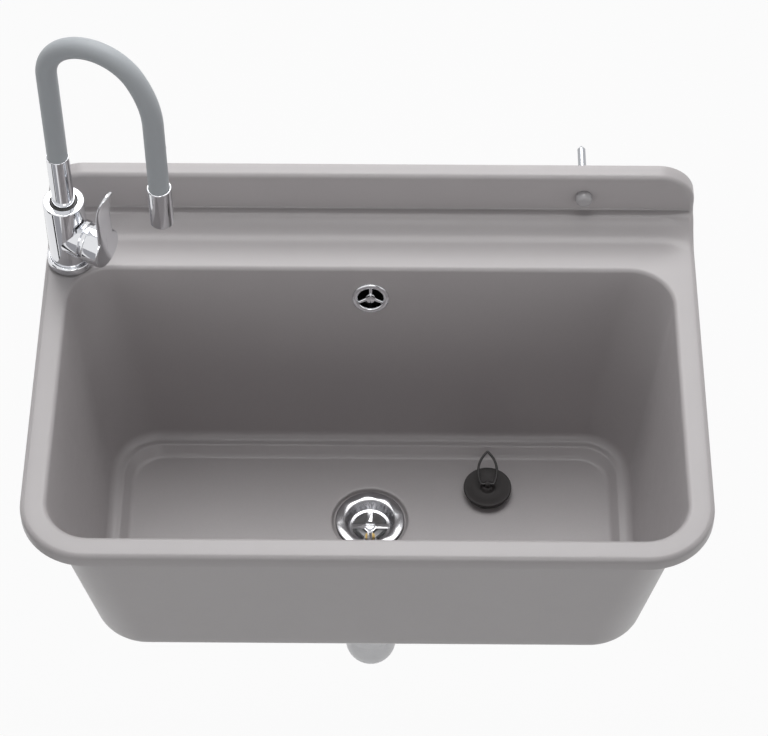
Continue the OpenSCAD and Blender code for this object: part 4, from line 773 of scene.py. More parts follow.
def edge_rows(rows, s):
    """Rolled edge and skirt round the ledge's right side and the upstand's top. Each border point moves
    outwards over a quarter circle and then runs to the wall or down to the lip's foot."""
    r = s["rim_roll"]
    count = len(ledge_profile(False))
    border = np.concatenate([rows[:, -1], rows[-1, ::-1][1:-1]])
    a = np.clip((border[:, 2] - (PANEL_TOP - PANEL_R)) / (PANEL_R - BORDER), 0, 1)
    out = np.stack([np.sqrt(1 - a * a), np.zeros(len(a)), a], 1)
    out[len(rows) - 1:] = Z
    far = ledge_points(np.array([HALF_W - BORDER, HALF_W - BORDER / 2 - r / 2, HALF_W - r]))
    side = np.cross(X, np.gradient(far[:, 2], axis=0))
    normal = np.tile(-Y, (len(border), 1))
    normal[:count] = side / np.linalg.norm(side, axis=1, keepdims=True)
    normal[0] = Z
    base = [border + d * out for d in (0.0, (BORDER - r) / 2, BORDER - r)]
    for k in range(3):
        base[k][:count] = far[:, k]
    edge = roll(base[2], out, normal, r)
    # The skirt drops to the lip's foot beside the deck, fans out to the heel and follows the wall
    last = edge[-1]
    skirt = last.copy()
    skirt[:, 1] = 0.0
    heel = np.array([HALF_W, 0.0, RIM_Z - LIP_DROP])
    fan_y = -25.5
    deck = int(np.argmax(last[:count, 1] > fan_y))
    turn = (deck + count) // 2
    skirt[:deck + 1] = np.column_stack([last[:deck + 1, :2], np.full(deck + 1, heel[2])])
    skirt[deck:turn + 1] = np.linspace(skirt[deck], heel, turn - deck + 1)
    skirt[turn:count + 1] = np.linspace(heel, skirt[count], count + 1 - turn)
    return np.stack(base[:2] + list(edge) + [(last + skirt) / 2, skirt])


class SINK_OT_basin(bpy.types.Operator):
    """Moulded shell of the basin with its rim, ledge and upstand"""

    bl_idname = "laundry_sink.basin"
    bl_label = "Basin"

    def execute(self, context):
        s = sizes()
        sharp = 30.0
        anchors = deck_line()
        sheet = upstand_rows(np.linspace(-1, 1, BACK_STEPS + 1))
        count = len(sheet)
        edge = edge_rows(sheet, s)
        mirrored = edge[:, :count] * np.array([-1, 1, 1])
        top = np.concatenate([edge[:, count - 1:], mirrored[:, ::-1][:, :1]], 1)
        shells = [net(bowl_rows(anchors, s))]
        for rows in (rim_rows(anchors, s), sheet, edge[:, :count], mirrored, top):
            shells.append(net(rows, loop_columns=False))
        shell = make("basin_shell", shells, "basin_plastic", "basin", sharp=sharp)
        self.face_up(shell.data)
        thick = shell.modifiers.new("Wall", "SOLIDIFY")
        thick.thickness = s["wall"] * MM
        thick.offset = -1.0
        drill = turned([(0, -8), (14, -8), (14, 9), (0, 9)], OVERFLOW, OUT, loop=False)
        hole = make("overflow_hole", [drill], "basin_plastic")
        cut = shell.modifiers.new("Overflow hole", "BOOLEAN")
        cut.operation = "DIFFERENCE"
        cut.solver = "EXACT"
        cut.object = hole
        apply_modifiers(shell, sharp)
        bpy.data.objects.remove(hole)
        posts = [turned(ring(4.5, 8.5, -11.2, -0.3, 0.6), (x, 0, 0), Y, X, 48) for x in SCREW_X]
        make("basin_posts", posts, "basin_plastic")
        return {"FINISHED"}

    def face_up(self, mesh):
        """Turns the shell over if its faces look down on the whole."""
        normals = np.zeros(len(mesh.polygons) * 3)
        area = np.zeros(len(mesh.polygons))
        mesh.polygons.foreach_get("normal", normals)
        mesh.polygons.foreach_get("area", area)
        if (normals.reshape(-1, 3)[:, 2] * area).sum() < 0:
            mesh.flip_normals()


class SINK_OT_wall_fixing(bpy.types.Operator):
    """Wall screws, their caps, and the bracket under the ledge"""

    bl_idname = "laundry_sink.wall_fixing"
    bl_label = "Wall fixing"

    def execute(self, context):
        dome = [(7.6, 0), (8.5, 0), (8.5, 4.4), (7.8, 6.6), (5.6, 8.6), (2.6, 9.35), (0, 9.5)]
        cap = np.vstack([softened(dome, 1.4), [(0, 8.6), (3.4, 8.2), (6.2, 6.2), (7.6, 3.2), (7.6, 0)]])
        caps = [turned(cap, (x, PANEL_Y, 0), -Y, X, 64, loop=False) for x in SCREW_X]
        make("cap_domes", caps, "cap_plastic", "screw_caps")
        head = softened([(0, -22.08), (5.2, -22.08), (5.2, -19.2), (3.6, -19.2), (3.6, 0), (3.2, 0)], 0.5, 3)
        screw = np.vstack([head, [(4, 0), (4, 47), (3.2, 47), (2.2, 49.5), (0.6, 51.8), (0, 52)]])
        rods = [turned(screw, (x, 0, 0), Y, X, 32, loop=False) for x in SCREW_X]
        make("wall_screw_rods", rods, "screw_steel", "wall_screws")
        head = softened([(0, -6), (4, -6), (4, -3.6), (2.5, -3), (2.5, 0), (2, 0)], 0.4, 3)
        screw = np.vstack([head, [(2.5, 0), (2.5, 37.5), (2, 37.5), (1.2, 39.5), (0.3, 40.9), (0, 41)]])
        rod = turned(screw, (0, 0, -46.5), Y, X, 24, loop=False)
        make("bracket_rod", [rod], "screw_steel", "bracket_wall_screw")
        eased("bracket", "white_plastic", 0.7)
        return {"FINISHED"}


class SINK_OT_drain(bpy.types.Operator):
    """Strainer in the bowl's floor, with its screw"""

    bl_idname = "laundry_sink.drain"
    bl_label = "Drain"

    def execute(self, context):
        eased("strainer_plate", "satin_steel", 0.45)
        eased("strainer_screw", "chrome", 0.3)
        return {"FINISHED"}


class SINK_OT_waste(bpy.types.Operator):
    """Waste body, union nut, tail pipe, trap, outlet pipe and wall flange"""

    bl_idname = "laundry_sink.waste"
    bl_label = "Waste and trap"

    def execute(self, context):
        n = sizes()["sides"]
        origin = (*DRAIN, 0)
        flange = softened([(23.9, -285), (31.9, -285), (31.9, -281), (22.6, -281)], 0.8, 3)
        cup = np.vstack([[(PIPE_BORE, -326), (23.9, -326)], flange,
                         [(21, -281), (21, -303), (PIPE_BORE, -303)]])
        spoke = [(6, -2.5), (19, -2.5), (19, 2.5), (6, 2.5)]
        make("waste_cup", [
            turned(cup, origin, count=n),
            turned(ring(11, 14.5, 18, 46, 0.7), (0, DRAIN[1], PORT_Z), Y, X, 64),
            turned(ring(5.05, 6.5, -308, -303, 0.4), origin, count=48),
            *(slab(spoke, -308, -303, 0.5, origin, heading(turn)) for turn in (45, 135, 225, 315)),
        ], "white_plastic", "waste_body")
        low = -335.0
        nut = closed([(20.1, low), (24.2, low), (28.9, low + 4.6), (30, low + 6), (30, low + 19),
                      (28.9, low + 20.4), (24, low + 20.5), (24, low + 3), (20.1, low + 3)], 0.9, 3)
        ribs = grips(12, 1.3, low + 4.0, low + 20.3, 2)
        make("union_nut", [turned(nut, origin, count=144, wave=ribs)], "white_plastic", "tail_nut")
        at = (*DRAIN, -363)
        make("tail_tube", [
            turned(ring(PIPE_BORE, PIPE_R, -473, -329, 0.8), origin, count=n),
            turned(ring(19.6, 22.2, -329, -326.1, 0.6), origin, count=n),
            turned(ring(9.5, 11.5, 17, 50, 0.6), at, BRANCH_WAY, Z, 56),
            turned(ring(11.2, 13.0, 33.5, 37.6, 0.7), at, BRANCH_WAY, Z, 56),
        ], "white_plastic", "tail_pipe")
        stopper = softened([(11.56, 38), (13.2, 38), (13.2, 49.6), (12.1, 50.4), (12.2, 56), (4.4, 56),
                            (4.4, 52), (0, 52)], 0.7, 3)
        stopper = np.vstack([stopper, [(0, 50.05), (11.56, 50.05)]])
        ribs = grips(24, 0.5, 38.6, 49.4, 4)
        make("branch_stopper", [turned(stopper, at, BRANCH_WAY, Z, 96, wave=ribs)],
             "blue_plastic", "branch_cap", "branch_cap")
        self.trap(n)
        return {"FINISHED"}

    def trap(self, n):
        """Trap housing, clean-out cap, outlet pipe and wall flange."""
        axis_z, out_y, end_y, top, out_top = -492.0, -157.0, -121.0, -429.0, -455.0
        reach = end_y - DRAIN[1]
        inlet = [(20.3, axis_z + 6), (23.3, axis_z + 6), (23.3, top - 31), (25.5, top - 28),
                 (25.5, top - 4.4), (27, top - 3), (27, top), (20.3, top)]
        outlet = [(20.3, axis_z + 8), (25.5, axis_z + 8), (25.5, out_top - 4.4), (27, out_top - 3),
                  (27, out_top), (20.3, out_top)]
        a = np.radians(np.linspace(0, 90, 15))
        quarter = np.stack([np.sin(a), -np.cos(a)], 1)
        seam = softened([(27, 28), (27.7, 29), (27.7, 31), (27, 32)], 0.5, 3)
        housing = np.vstack([27 * quarter, seam, [(27, reach), (24, reach)], 24 * quarter[::-1]])
        make("trap_housing", [
            turned(closed(inlet, 1.2, 3), (*DRAIN, 0), count=n),
            turned(closed(outlet, 1.2, 3), (0, out_y, 0), count=n),
            turned(housing, (*DRAIN, axis_z), Y, X, n, loop=False),
        ], "white_plastic", "trap_body")
        lid = [(27.06, 0), (29.55, 0), (29.55, 14.5), (28.4, 16), (12, 16), (11, 15), (0, 15)]
        lid = np.vstack([softened(lid, 1.0), [(0, 13.1), (27.06, 13.1)]])
        ribs = grips(18, 1.0, 1.0, 13.6, 8)
        make("cleanout_lid", [turned(lid, (0, end_y - 10, axis_z), Y, X, 180, wave=ribs)],
             "white_plastic", "cleanout_cap", "cleanout_cap")
        start, bend, level = -477.0, 45.0, -398.0
        foot = level - bend
        rise = np.linspace([0, out_y, start], [0, out_y, foot], 6)[:-1]
        corner = arc([0, out_y + bend, foot], [0, -bend, 0], [0, 0, bend], 90, 25)
        run = np.linspace([0, out_y + bend, level], [0, 40, level], 12)[1:]
        pipe = hose(np.vstack([rise, corner, run]), X, PIPE_R, 72, PIPE_BORE)
        bead = turned(ring(19.4, 21.1, foot - 3.0, foot - 0.6, 0.8), (0, out_y, 0), count=n)
        make("outlet_tube", [pipe, bead], "white_plastic", "outlet_pipe")
        r, neck, high = 36.0, 22.06, 22.0
        bell = [(20.06, -high), (neck, -high), (neck + 0.6, -high * 0.72), (neck + 2.8, -high * 0.5),
                (neck + 7, -high * 0.3), (r - 2, -high * 0.15), (r, -high * 0.1), (r, 0), (r - 2, 0),
                (r - 4, -2), (20.06, -2)]
        make("wall_rosette", [turned(closed(bell, 2.2), (0, 0, level), Y, X, n)],
             "white_plastic", "wall_flange", "wall_flange")


def hose_route(t):
    """Points of the overflow hose in the plane x = 0 at the shares t of its length, and that length. Its
    stretches add up: straight along the leaning wall, eased upright on a circle, straight down, round a
    quarter circle and straight to the union."""
    start = ELBOW - CUFF_END * UP
    sine, cosine = math.sin(LEAN), math.cos(LEAN)
    drop = start[2] - HOSE_RUN * cosine - HOSE_EASE * sine - PORT_Z - HOSE_BEND
    stretches = [HOSE_RUN, HOSE_EASE * LEAN, drop, HOSE_BEND * math.pi / 2, HOSE_RUN]
    mark = np.concatenate([[0], np.cumsum(stretches)])
    d = np.asarray(t) * mark[-1]
    lean, ease, fall, bend, run = (np.clip(d, a, b) - a for a, b in zip(mark[:-1], mark[1:]))
    a, b = LEAN - ease / HOSE_EASE, bend / HOSE_BEND
    y = start[1] - lean * sine + HOSE_EASE * (cosine - np.cos(a)) - HOSE_BEND * (1 - np.cos(b)) - run
    z = start[2] - lean * cosine + HOSE_EASE * (np.sin(a) - sine) - fall - HOSE_BEND * np.sin(b)
    return np.stack([0 * d, y, z], -1), float(mark[-1])


class SINK_OT_overflow(bpy.types.Operator):
    """Rosette, elbow, corrugated hose, cuff and union nut of the overflow"""

    bl_idname = "laundry_sink.overflow"
    bl_label = "Overflow"

    def execute(self, context):
        s = sizes()
        n = s["sides"]
        face = closed([(12.7, 0.6), (13.4, -1.2), (15, -1.6), (17, -1.5), (18.4, -0.8), (18.5, 0), (13.8, 0),
                       (13.8, 7), (12.7, 7)], 0.7)
        hub = softened([(0, -0.6), (3.6, -0.6), (4.9, 0.4), (4.9, 3.5), (0, 3.5)], 0.8)
        shells = [turned(face, OVERFLOW, OUT, X, n), turned(hub, OVERFLOW, OUT, X, 48, loop=False)]
        shells += [self.spoke(math.radians(angle)) for angle in (30, 150, 270)]
        make("overflow_grille", shells, "chrome", "overflow_rosette")
        eased("overflow_screw", "chrome", 0.25)
        front = ELBOW_FRONT + 3.0
        drum = [(15.8, front), (18, front), (18, front + 27), (15, front + 30), (0, front + 30)]
        drum = np.vstack([softened(drum, 3.0, 5), [(0, front + 27.8), (15.8, front + 27.8)]])
        make("overflow_bend", [
            turned(drum, OVERFLOW, OUT, X, n),
            turned(ring(10.3, 12.5, 12, 46, 0.6), ELBOW, -UP, X, 64),
            turned(ring(12.2, 14.2, 17.5, 20.5, 0.8), ELBOW, -UP, X, 64),
        ], "black_plastic", "overflow_elbow")
        cuff = closed([(12.55, 34), (14.6, 34), (15, 36), (13.7, 38.4), (13.7, 66), (15, 66.4),
                       (15, CUFF_END), (11.8, CUFF_END), (11.8, 46.1), (12.55, 46.1)], 0.7)
        make("overflow_cuff_top", [turned(cuff, ELBOW, -UP)], "white_plastic", "overflow_sleeve")
        self.corrugated(s)
        seat, end = DRAIN[1] + 46.0, hose_route(np.array([1.0]))[0][0, 1]
        pipe = closed([(11, seat), (14.4, seat), (14.4, seat + 3), (12.8, seat + 3), (12.8, end),
                       (11, end)], 0.6)
        make("overflow_tube", [turned(pipe, (0, 0, PORT_Z), Y)], "pale_plastic", "overflow_cuff")
        nut = closed([(14.6, 0), (17, 0), (17.4, 1.2), (17.4, 15), (16.2, 16.6), (15.8, 20), (12.9, 20),
                      (12.9, 14.1), (14.6, 14.1)], 0.8)
        ribs = grips(12, 1.2, 0.8, 16.2, 5)
        make("overflow_union", [turned(nut, (0, DRAIN[1] + 35, PORT_Z), Y, X, 144, wave=ribs)],
             "white_plastic", "overflow_nut")
        return {"FINISHED"}

    def spoke(self, angle):
        """Spoke of the rosette: a section 1.75 cos a wide and 1.6 |sin a|^0.6 deep, carried straight from the
        hub to the ring and closed to its middle at both ends."""
        way = math.cos(angle) * X - math.sin(angle) * UP
        a = np.radians(np.arange(0, 360, 15))
        wide, deep = 1.75 * np.cos(a), 1.6 * signed_power(np.sin(a), 0.6) + 2.0
        line = np.linspace(4.0, 13.2, 6)[:, None, None]
        body = OVERFLOW + line * way + wide[:, None] * np.cross(way, OUT) + deep[:, None] * OUT
        ends = [np.broadcast_to(body[k].mean(0), body[k].shape)[None] for k in (0, -1)]
        return net(np.concatenate([ends[0], body, ends[1]]))

    def corrugated(self, s):
        """Corrugated hose: its radius is the core plus the rib depth times (0.5 - 0.5 cos of the rib
        phase)^0.7."""
        whole = hose_route(np.array([1.0]))[1]
        ribs = int(whole / s["rib_pitch"]) - 1
        lead = (whole - ribs * s["rib_pitch"]) / 2
        d = np.concatenate([[0.0], np.linspace(lead, whole - lead, ribs * 10 + 1), [whole]])
        phase = (d - lead) / s["rib_pitch"]
        ribbed = (d >= lead) & (d <= whole - lead)
        bulge = np.where(ribbed, (0.5 - 0.5 * np.cos(2 * np.pi * phase)) ** 0.7, 0.0)
        path, _ = hose_route(d / whole)
        radius = HOSE_R - s["rib_depth"] + s["rib_depth"] * bulge
        piece = make("corrugated_hose", [hose(path, X, radius, 48, HOSE_BORE)], "white_plastic",
                     "overflow_hose", sharp=70)


class SINK_OT_plug(bpy.types.Operator):
    """Rubber plug and its pull loop"""

    bl_idname = "laundry_sink.plug"
    bl_label = "Plug"

    def execute(self, context):
        disc = softened([(0, 0), (21, 0), (22.3, 2.6), (24.5, 7.6), (24.5, 10), (22.3, 10), (15, 8.4),
                         (7.6, 7.6), (5.4, 11.4), (3, 12.2), (0, 12.2)], 1.3)
        make("plug_stopper", [turned(disc, PLUG, count=96, loop=False), self.ear()],
             "black_rubber", "plug", "plug")
        make("plug_loop", [self.loop()], "black_plastic", "plug_ring", "pull_loop")
        return {"FINISHED"}

    def ear(self):
        """Ear round the eye: its outline, a half circle over a half ellipse, and the hole's circle are joined
        by rows from one face to the other."""
        a = np.radians(np.linspace(0, 360, 48, endpoint=False))
        ear = np.stack([3.5 * np.cos(a), np.where(np.sin(a) > 0, 3.5 * np.sin(a), 6.5 * np.sin(a))], 1)
        hole = np.stack([1.9 * np.cos(a), 1.9 * np.sin(a)], 1)
        rows = [(ear, -1.9), (ear * 0.93, -2.5), (hole * 1.15, -2.5), (hole, -2.2), (hole, 2.2),
                (hole * 1.15, 2.5), (ear * 0.93, 2.5), (ear, 1.9)]
        points = np.stack([np.column_stack([np.full(len(a), x), outline]) for outline, x in rows])
        return net(points + PLUG_EYE, loop_rows=True)

    def loop(self):
        """Leaning wire triangle: each side runs straight from the bar's end to the tip and bulges out by
        4 b t (1 - t)."""
        half, tall, bulge, lean = 6.5, 34.0, 6.0, math.radians(66)
        rise = np.array([0, math.sin(lean), math.cos(lean)])
        t = np.linspace(0, 1, 30)[:, None]
        foot, tip = np.array([half, 0.0]), np.array([0.0, tall])
        out = np.array([tall, half]) / math.hypot(tall, half)
        side = foot + t * (tip - foot) + 4 * bulge * t * (1 - t) * out
        other = side[::-1] * np.array([-1, 1])
        bar = np.stack([np.linspace(-half, half, 12), np.zeros(12)], 1)[1:-1]
        flat = closed(np.vstack([side, other[1:], bar]), 1.1, 2)
        return wire(PLUG_EYE + flat[:, :1] * X + flat[:, 1:] * rise, np.cross(X, rise), 1.3, 14)


class SINK_OT_tap_body(bpy.types.Operator):
    """Base ring, body with its side housing, dome nut and threaded tail of the tap"""

    bl_idname = "laundry_sink.tap_body"
    bl_label = "Tap body"

    def execute(self, context):
        s = sizes()
        n = s["sides"]
        base = closed([(13, 1.5), (23, 1.5), (23, 8.6), (22.2, 9.6), (20.1, 10), (20.1, 3), (13, 3)], 0.7)
        make("tap_foot_ring", [turned(base, TAP, count=n)], "chrome", "tap_base_ring")
        body = closed([(12.95, 3), (20, 3), (20, 85), (19.2, 86), (13.45, 86), (13.45, 58), (12.95, 58)], 0.7)
        side = closed([(17.2, 4), (19.4, 4), (19.4, 22.5), (17.2, 22.5)], 0.5)
        plate = [(0, 5), (17.6, 5), (17.6, 8), (0, 8)]
        make("tap_barrel", [
            turned(body, TAP, count=n),
            turned(side, HOUSING, HOUSING_WAY, Z, n),
            turned(plate, HOUSING, HOUSING_WAY, Z, n, loop=False),
        ], "chrome", "tap_body", sharp=28)
        dome = closed([(12, 18.5), (17.15, 18.5), (17.15, 24.2), (16.4, 26.4), (14.4, 28.9), (12, 30.6),
                       (9.6, 31), (9.6, 29.8), (12, 23.5)], 1.0, 5)
        make("dome_nut", [turned(dome, HOUSING, HOUSING_WAY, Z, n)], "chrome", "cartridge_nut")
        make("tap_tail", [self.tail(s["thread_pitch"])], "brass", "tap_shank")
        eased("tap_nut", "brass", 0.6)
        return {"FINISHED"}

    def tail(self, pitch):
        """Threaded tail with eight rows to a pitch of its thread, and a plain neck above it."""
        r, bore, depth, low, top = 12.9, 9.5, 0.8, -46.0, 9.5
        h = np.linspace(low, 0.0, int(-low / pitch * 8) + 1)
        wall = np.stack([np.full(len(h), r), h], 1)
        section = np.vstack([[(bore, low), (r - depth, low)], wall, [(r, top), (bore, top)]])
        return turned(section, TAP, count=64, wave=thread(pitch, depth, low + 0.2, -0.5))


class SINK_OT_lever(bpy.types.Operator):
    """Lever: round cap and a paddle that curls outwards"""

    bl_idname = "laundry_sink.lever"
    bl_label = "Lever"

    def execute(self, context):
        cap = softened([(18, 27.9), (20, 27.9), (20, 44.4), (19.0, 46), (0, 46)], 0.9, 5)
        cap = np.vstack([cap, [(0, 36), (18, 36)]])
        shells = [turned(cap, HOUSING, HOUSING_WAY, Z, 96), self.paddle()]
        make("lever_paddle", shells, "chrome", "lever", "lever", sharp=40)
        return {"FINISHED"}

    def paddle(self):
        """Flat bar with a round tip: rows of a squared ellipse along a line that rises straight and then
        curls outwards on a circle, at heights of 80 sin t."""
        tall, half_w, half_t, straight, curl, face = 80.0, 12.0, 1.5, 42.0, 90.0, 46.0
        v = tall * np.sin(np.linspace(0, 1, 60) * np.pi / 2)
        tip = v - (tall - half_w)
        half = np.where(tip > 0, np.sqrt(np.maximum(half_w ** 2 - tip ** 2, 0.0)), half_w)
        lift = np.clip(v - straight, 0, None)
        out = face + curl - np.sqrt(curl ** 2 - lift ** 2)
        tilt = np.arcsin(lift / curl)
        normal = np.cos(tilt)[:, None] * HOUSING_WAY - np.sin(tilt)[:, None] * Z
        middle = HOUSING + out[:, None] * HOUSING_WAY + v[:, None] * Z - half_t * normal
        a = np.linspace(0, 2 * np.pi, 40, endpoint=False)[None, :, None]
        wide = signed_power(np.cos(a), 0.45) * half[:, None, None]
        thin = half_t * np.sqrt(np.clip(half / (2 * half_t), 0, 1))[:, None, None]
        thick = signed_power(np.sin(a), 0.7) * thin
        body = middle[:, None] + wide * np.cross(Z, HOUSING_WAY) + thick * normal[:, None]
        start = np.broadcast_to(middle[0], body[:1].shape)
        return net(np.concatenate([start, body]))


class SINK_OT_spout(bpy.types.Operator):
    """Spout: bush, tube, soft hose in an arch, sleeve and spray insert"""

    bl_idname = "laundry_sink.spout"
    bl_label = "Spout"

    def execute(self, context):
        n = sizes()["sides"]
        across = np.cross(Z, SPOUT_WAY)
        bush = closed([(11.06, 66), (13.4, 66), (13.4, 85.4), (12.6, 86.6), (11.06, 86.6)], 0.5)
        make("spout_collar", [turned(bush, TAP, count=n)], "black_plastic", "spout_bush")
        riser = closed([(10.1, 62), (12, 62), (12, 63.4), (11, 63.4), (11, 148.2), (10.7, 149),
                        (10.1, 149)], 0.4)
        make("spout_riser", [turned(riser, TAP, count=n)], "chrome", "spout_tube", "spout")
        path = self.arch()
        cover = hose(path, across, 9.9, 64, 6.2)
        make("spout_cover", [cover], "hose_rubber", "spout_hose", "spout", sharp=50)
        low = np.linspace(TAP + 62 * Z, path[0], 8)[:-1]
        foot = np.linspace(path[-1], path[-1] - 23 * Z, 4)[1:]
        core = hose(np.vstack([low, path[::3], foot]), across, 6.0, 32, 4.5)
        make("spout_core", [core], "liner_plastic", "spout_liner", "spout", sharp=50)
        sleeve = closed([(10.1, 98), (11.2, 98), (11.6, 98.6), (11.6, 144.2), (11.1, 145), (10.1, 145)], 0.4)
        make("spout_end", [turned(sleeve, TAP + 104 * SPOUT_WAY, count=n)], "chrome", "spout_sleeve", "spout")
        eased("aerator", "satin_steel", 0.25, "spout")
        return {"FINISHED"}

    def arch(self):
        """Middle line of the hose: straight up, a narrow turn, a wide turn that goes on from it until the
        line points down, and straight down."""
        low, top, narrow, wide, turn, end = 137, 258, 48, 107, 150, 133
        rise = np.linspace(TAP + low * Z, TAP + top * Z, 30)[:-1]
        first = arc(TAP + top * Z + narrow * SPOUT_WAY, -narrow * SPOUT_WAY, narrow * Z, turn, 46)
        sine, cosine = math.sin(math.radians(turn)), math.cos(math.radians(turn))
        radial = wide * (sine * Z - cosine * SPOUT_WAY)
        onward = wide * (sine * SPOUT_WAY + cosine * Z)
        second = arc(first[-1] - radial, radial, onward, 180 - turn, 16)[1:]
        fall = np.linspace(second[-1], TAP + 103.9 * SPOUT_WAY + end * Z, 30)[1:]
        return np.vstack([rise, first, second, fall])


class SINK_OT_small_parts(bpy.types.Operator):
    """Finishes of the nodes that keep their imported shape"""

    bl_idname = "laundry_sink.small_parts"
    bl_label = "Small parts"

    def execute(self, context):
        for part in frame["record"]["subparts"]:
            piece = frame["nodes"][part["node"]]
            piece.data.materials.clear()
            piece.data.materials.append(finish(part["material_slot"]))
        return {"FINISHED"}


# Stage, in metres

LAMP_TARGET = (0.0, -0.2, -0.2)
# Square lamps: name, place and side
LAMPS = {
    "top_lamp": ("Top lamp", (0.0, 0.95, 2.15), 2.0),
    "front_lamp": ("Front lamp", (-0.9, -2.4, 0.9), 1.6),
    "sheen_lamp": ("Sheen lamp", (0.2, -2.1, 1.35), 0.8),
}
# Upright cards: place of the middle, width, height and level of grey
CARDS = {
    "Left card": ((-1.7, -0.5, 0.1), 0.45, 1.9, 0.05),
    "Right card": ((0.75, -2.3, 0.1), 0.5, 1.9, 0.05),
    "Grey card": ((-0.603, -0.466, -0.4), 0.28, 0.9, 0.36),
    "Narrow card": ((-0.736, -0.307, -0.4), 0.08, 0.9, 0.05),
    "Back card": ((-0.466, 0.398, -0.4), 0.13, 0.9, 0.05),
}
# Light of the surroundings by the height of its direction, from 0, level or lower, to 1, straight up
SKY = ((0.0, 1.0), (0.34, 1.0), (0.46, 0.08), (1.0, 0.08))
CAMERA_PLACE = np.array([0.0272, -1.9569, 1.9582])
CAMERA_PITCH = math.radians(38.49)
CAMERA_TURN = math.radians(0.45)
FLOOR_HALF = 6.0


def seen(tree, ray):
    """Result socket that is 1 for what the camera, gloss and glass see."""
    both = maths(tree, "ADD", ray.outputs["Is Camera Ray"], ray.outputs["Is Glossy Ray"], clamp=True)
    return maths(tree, "ADD", both, ray.outputs["Is Transmission Ray"], clamp=True)


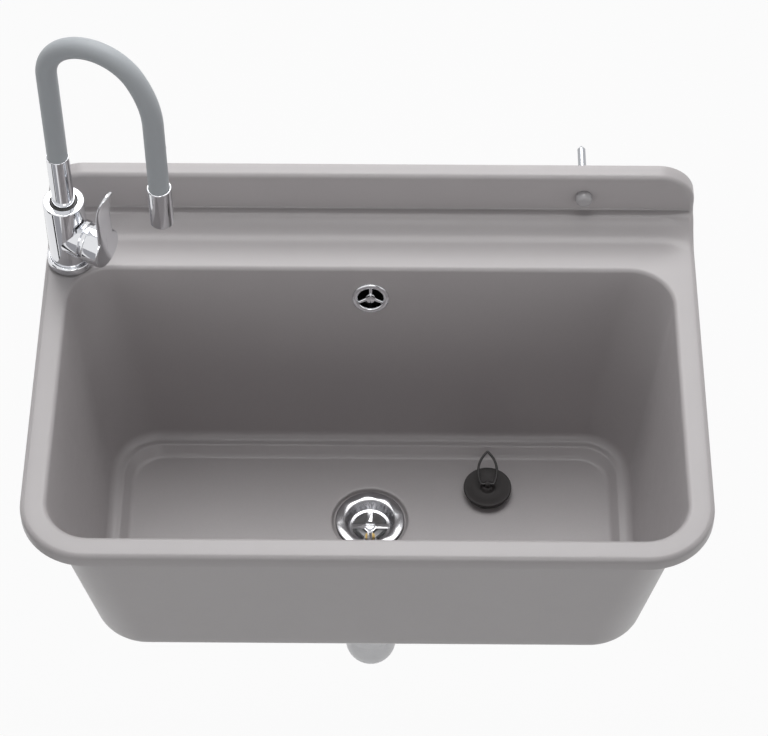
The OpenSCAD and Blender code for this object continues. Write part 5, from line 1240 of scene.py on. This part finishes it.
class SINK_OT_stage(bpy.types.Operator):
    """Floor, lamps, cards, surroundings and camera"""

    bl_idname = "laundry_sink.stage"
    bl_label = "Stage"

    def execute(self, context):
        stage = context.scene.laundry_sink.stage
        self.floor(stage)
        for key, (name, place, side) in LAMPS.items():
            lamp = self.lamp(name, getattr(stage, key), place, side)
            lamp.visible_diffuse = key != "sheen_lamp"
        for name, (place, width, height, level) in CARDS.items():
            self.card(name, np.array(place), width, height, level)
        self.surroundings(context.scene, stage.sky)
        camera = linked("Camera", bpy.data.cameras.new("Camera"))
        camera.data.lens = stage.lens
        camera.data.sensor_width = 36.0
        camera.data.clip_end = 50.0
        camera.rotation_euler = (CAMERA_PITCH, 0.0, CAMERA_TURN)
        up = np.array([0.0, math.cos(CAMERA_PITCH), math.sin(CAMERA_PITCH)])
        camera.location = CAMERA_PLACE + stage.lift * up
        context.scene.camera = camera
        context.scene.view_settings.view_transform = "Standard"
        return {"FINISHED"}

    def floor(self, stage):
        """Level square. Its seen side goes over to plain white by nine tenths, its bounce is dimmed, and from
        below it is clear."""
        x, y = np.meshgrid([-FLOOR_HALF, FLOOR_HALF], [-FLOOR_HALF, FLOOR_HALF], indexing="ij")
        corners = np.stack([x, y, np.full((2, 2), stage.floor_height)], -1)
        mesh = mesh_of("floor", *net(corners, loop_columns=False))
        if mesh.polygons[0].normal.z < 0:
            mesh.flip_normals()
        floor = linked("floor", mesh)
        material = bpy.data.materials.new("stage_floor")
        tree = emptied(material)
        ray = add(tree, "ShaderNodeLightPath")
        colour = tuple(stage.floor_colour) + (1.0,)
        bounce = tuple(c * stage.floor_bounce for c in stage.floor_colour) + (1.0,)
        tone = mixed(tree, ray.outputs["Is Diffuse Ray"], colour, bounce)
        rough = maths(tree, "MULTIPLY_ADD", noise(tree, on_object(tree), 2.0, 3.0), 0.1, 0.75)
        lit = add(tree, "ShaderNodeBsdfPrincipled", {"Base Color": tone, "Roughness": rough})
        white = add(tree, "ShaderNodeEmission", {"Color": WHITE, "Strength": 1.0})
        part = maths(tree, "MULTIPLY", seen(tree, ray), 0.9)
        both = add(tree, "ShaderNodeMixShader", {0: part, 1: lit.outputs[0], 2: white.outputs[0]})
        clear = add(tree, "ShaderNodeBsdfTransparent")
        under = add(tree, "ShaderNodeNewGeometry").outputs["Backfacing"]
        whole = add(tree, "ShaderNodeMixShader", {0: under, 1: both.outputs[0], 2: clear.outputs[0]})
        add(tree, "ShaderNodeOutputMaterial", {"Surface": whole.outputs[0]})
        mesh.materials.append(material)

    def lamp(self, name, watts, place, side):
        """Square lamp that looks at the object."""
        data = bpy.data.lights.new(name, "AREA")
        data.energy = watts
        data.size = side
        lamp = linked(name, data)
        lamp.location = place
        way = Vector(LAMP_TARGET) - Vector(place)
        lamp.rotation_euler = way.to_track_quat("-Z", "Y").to_euler()
        return lamp

    def card(self, name, place, width, height, level):
        """Upright grey card that faces the tap and shows only in the gloss of the metal."""
        wide, high = np.meshgrid([-0.5, 0.5], [-0.5, 0.5], indexing="ij")
        way = (TAP * MM - place) * (X + Y)
        side = np.cross(Z, way / np.linalg.norm(way))
        corners = place + wide[..., None] * width * side + high[..., None] * height * Z
        mesh = mesh_of(name, *net(corners, loop_columns=False))
        card = linked(name, mesh)
        card.visible_camera = card.visible_diffuse = card.visible_shadow = False
        material = bpy.data.materials.new("stage_card")
        tree = emptied(material)
        dark = add(tree, "ShaderNodeEmission", {"Color": (level, level, level * 1.05, 1.0), "Strength": 1.0})
        add(tree, "ShaderNodeOutputMaterial", {"Surface": dark.outputs[0]})
        mesh.materials.append(material)

    def surroundings(self, scene, strength):
        """Pale light, bright round the horizon and dim above; the camera, gloss and glass see plain white."""
        world = bpy.data.worlds.new("Surroundings")
        scene.world = world
        tree = emptied(world)
        ray = add(tree, "ShaderNodeLightPath")
        way = add(tree, "ShaderNodeTexCoord").outputs["Generated"]
        height = add(tree, "ShaderNodeSeparateXYZ", {0: way}).outputs["Z"]
        ramp = add(tree, "ShaderNodeValToRGB", {"Fac": height})
        marks = ramp.color_ramp.elements
        while len(marks) < len(SKY):
            marks.new(0.5)
        for mark, (at, value) in zip(marks, SKY):
            mark.position = at
            mark.color = (value, value, value, 1.0)
        sky = add(tree, "ShaderNodeBackground", {"Color": ramp.outputs[0], "Strength": strength})
        white = add(tree, "ShaderNodeBackground", {"Color": WHITE, "Strength": 1.0})
        both = add(tree, "ShaderNodeMixShader", {0: seen(tree, ray), 1: sky.outputs[0], 2: white.outputs[0]})
        add(tree, "ShaderNodeOutputWorld", {"Surface": both.outputs[0]})


OPERATORS = (
    SINK_OT_basin, SINK_OT_wall_fixing, SINK_OT_drain, SINK_OT_waste, SINK_OT_overflow, SINK_OT_plug,
    SINK_OT_tap_body, SINK_OT_lever, SINK_OT_spout, SINK_OT_small_parts, SINK_OT_stage,
)


class SINK_PT_panel(bpy.types.Panel):
    """Buttons for the pieces of the laundry sink"""

    bl_idname = "SINK_PT_panel"
    bl_label = "Laundry sink"
    bl_space_type = "VIEW_3D"
    bl_region_type = "UI"
    bl_category = "Laundry sink"

    def draw(self, context):
        for operator in OPERATORS:
            self.layout.operator(operator.bl_idname)
        for part in ("sizes", "colours", "stage"):
            settings = getattr(context.scene.laundry_sink, part)
            box = self.layout.box()
            for name in type(settings).__annotations__:
                box.prop(settings, name)


CLASSES = (SinkSizes, SinkColours, SinkStage, SinkSettings) + OPERATORS + (SINK_PT_panel,)


def register():
    for cls in CLASSES:
        bpy.utils.register_class(cls)
    bpy.types.Scene.laundry_sink = PointerProperty(type=SinkSettings)


def unregister():
    del bpy.types.Scene.laundry_sink
    for cls in reversed(CLASSES):
        bpy.utils.unregister_class(cls)


def main():
    register()
    for operator in OPERATORS:
        getattr(bpy.ops.laundry_sink, operator.bl_idname.split(".")[1])()


if __name__ == "__main__":
    main()
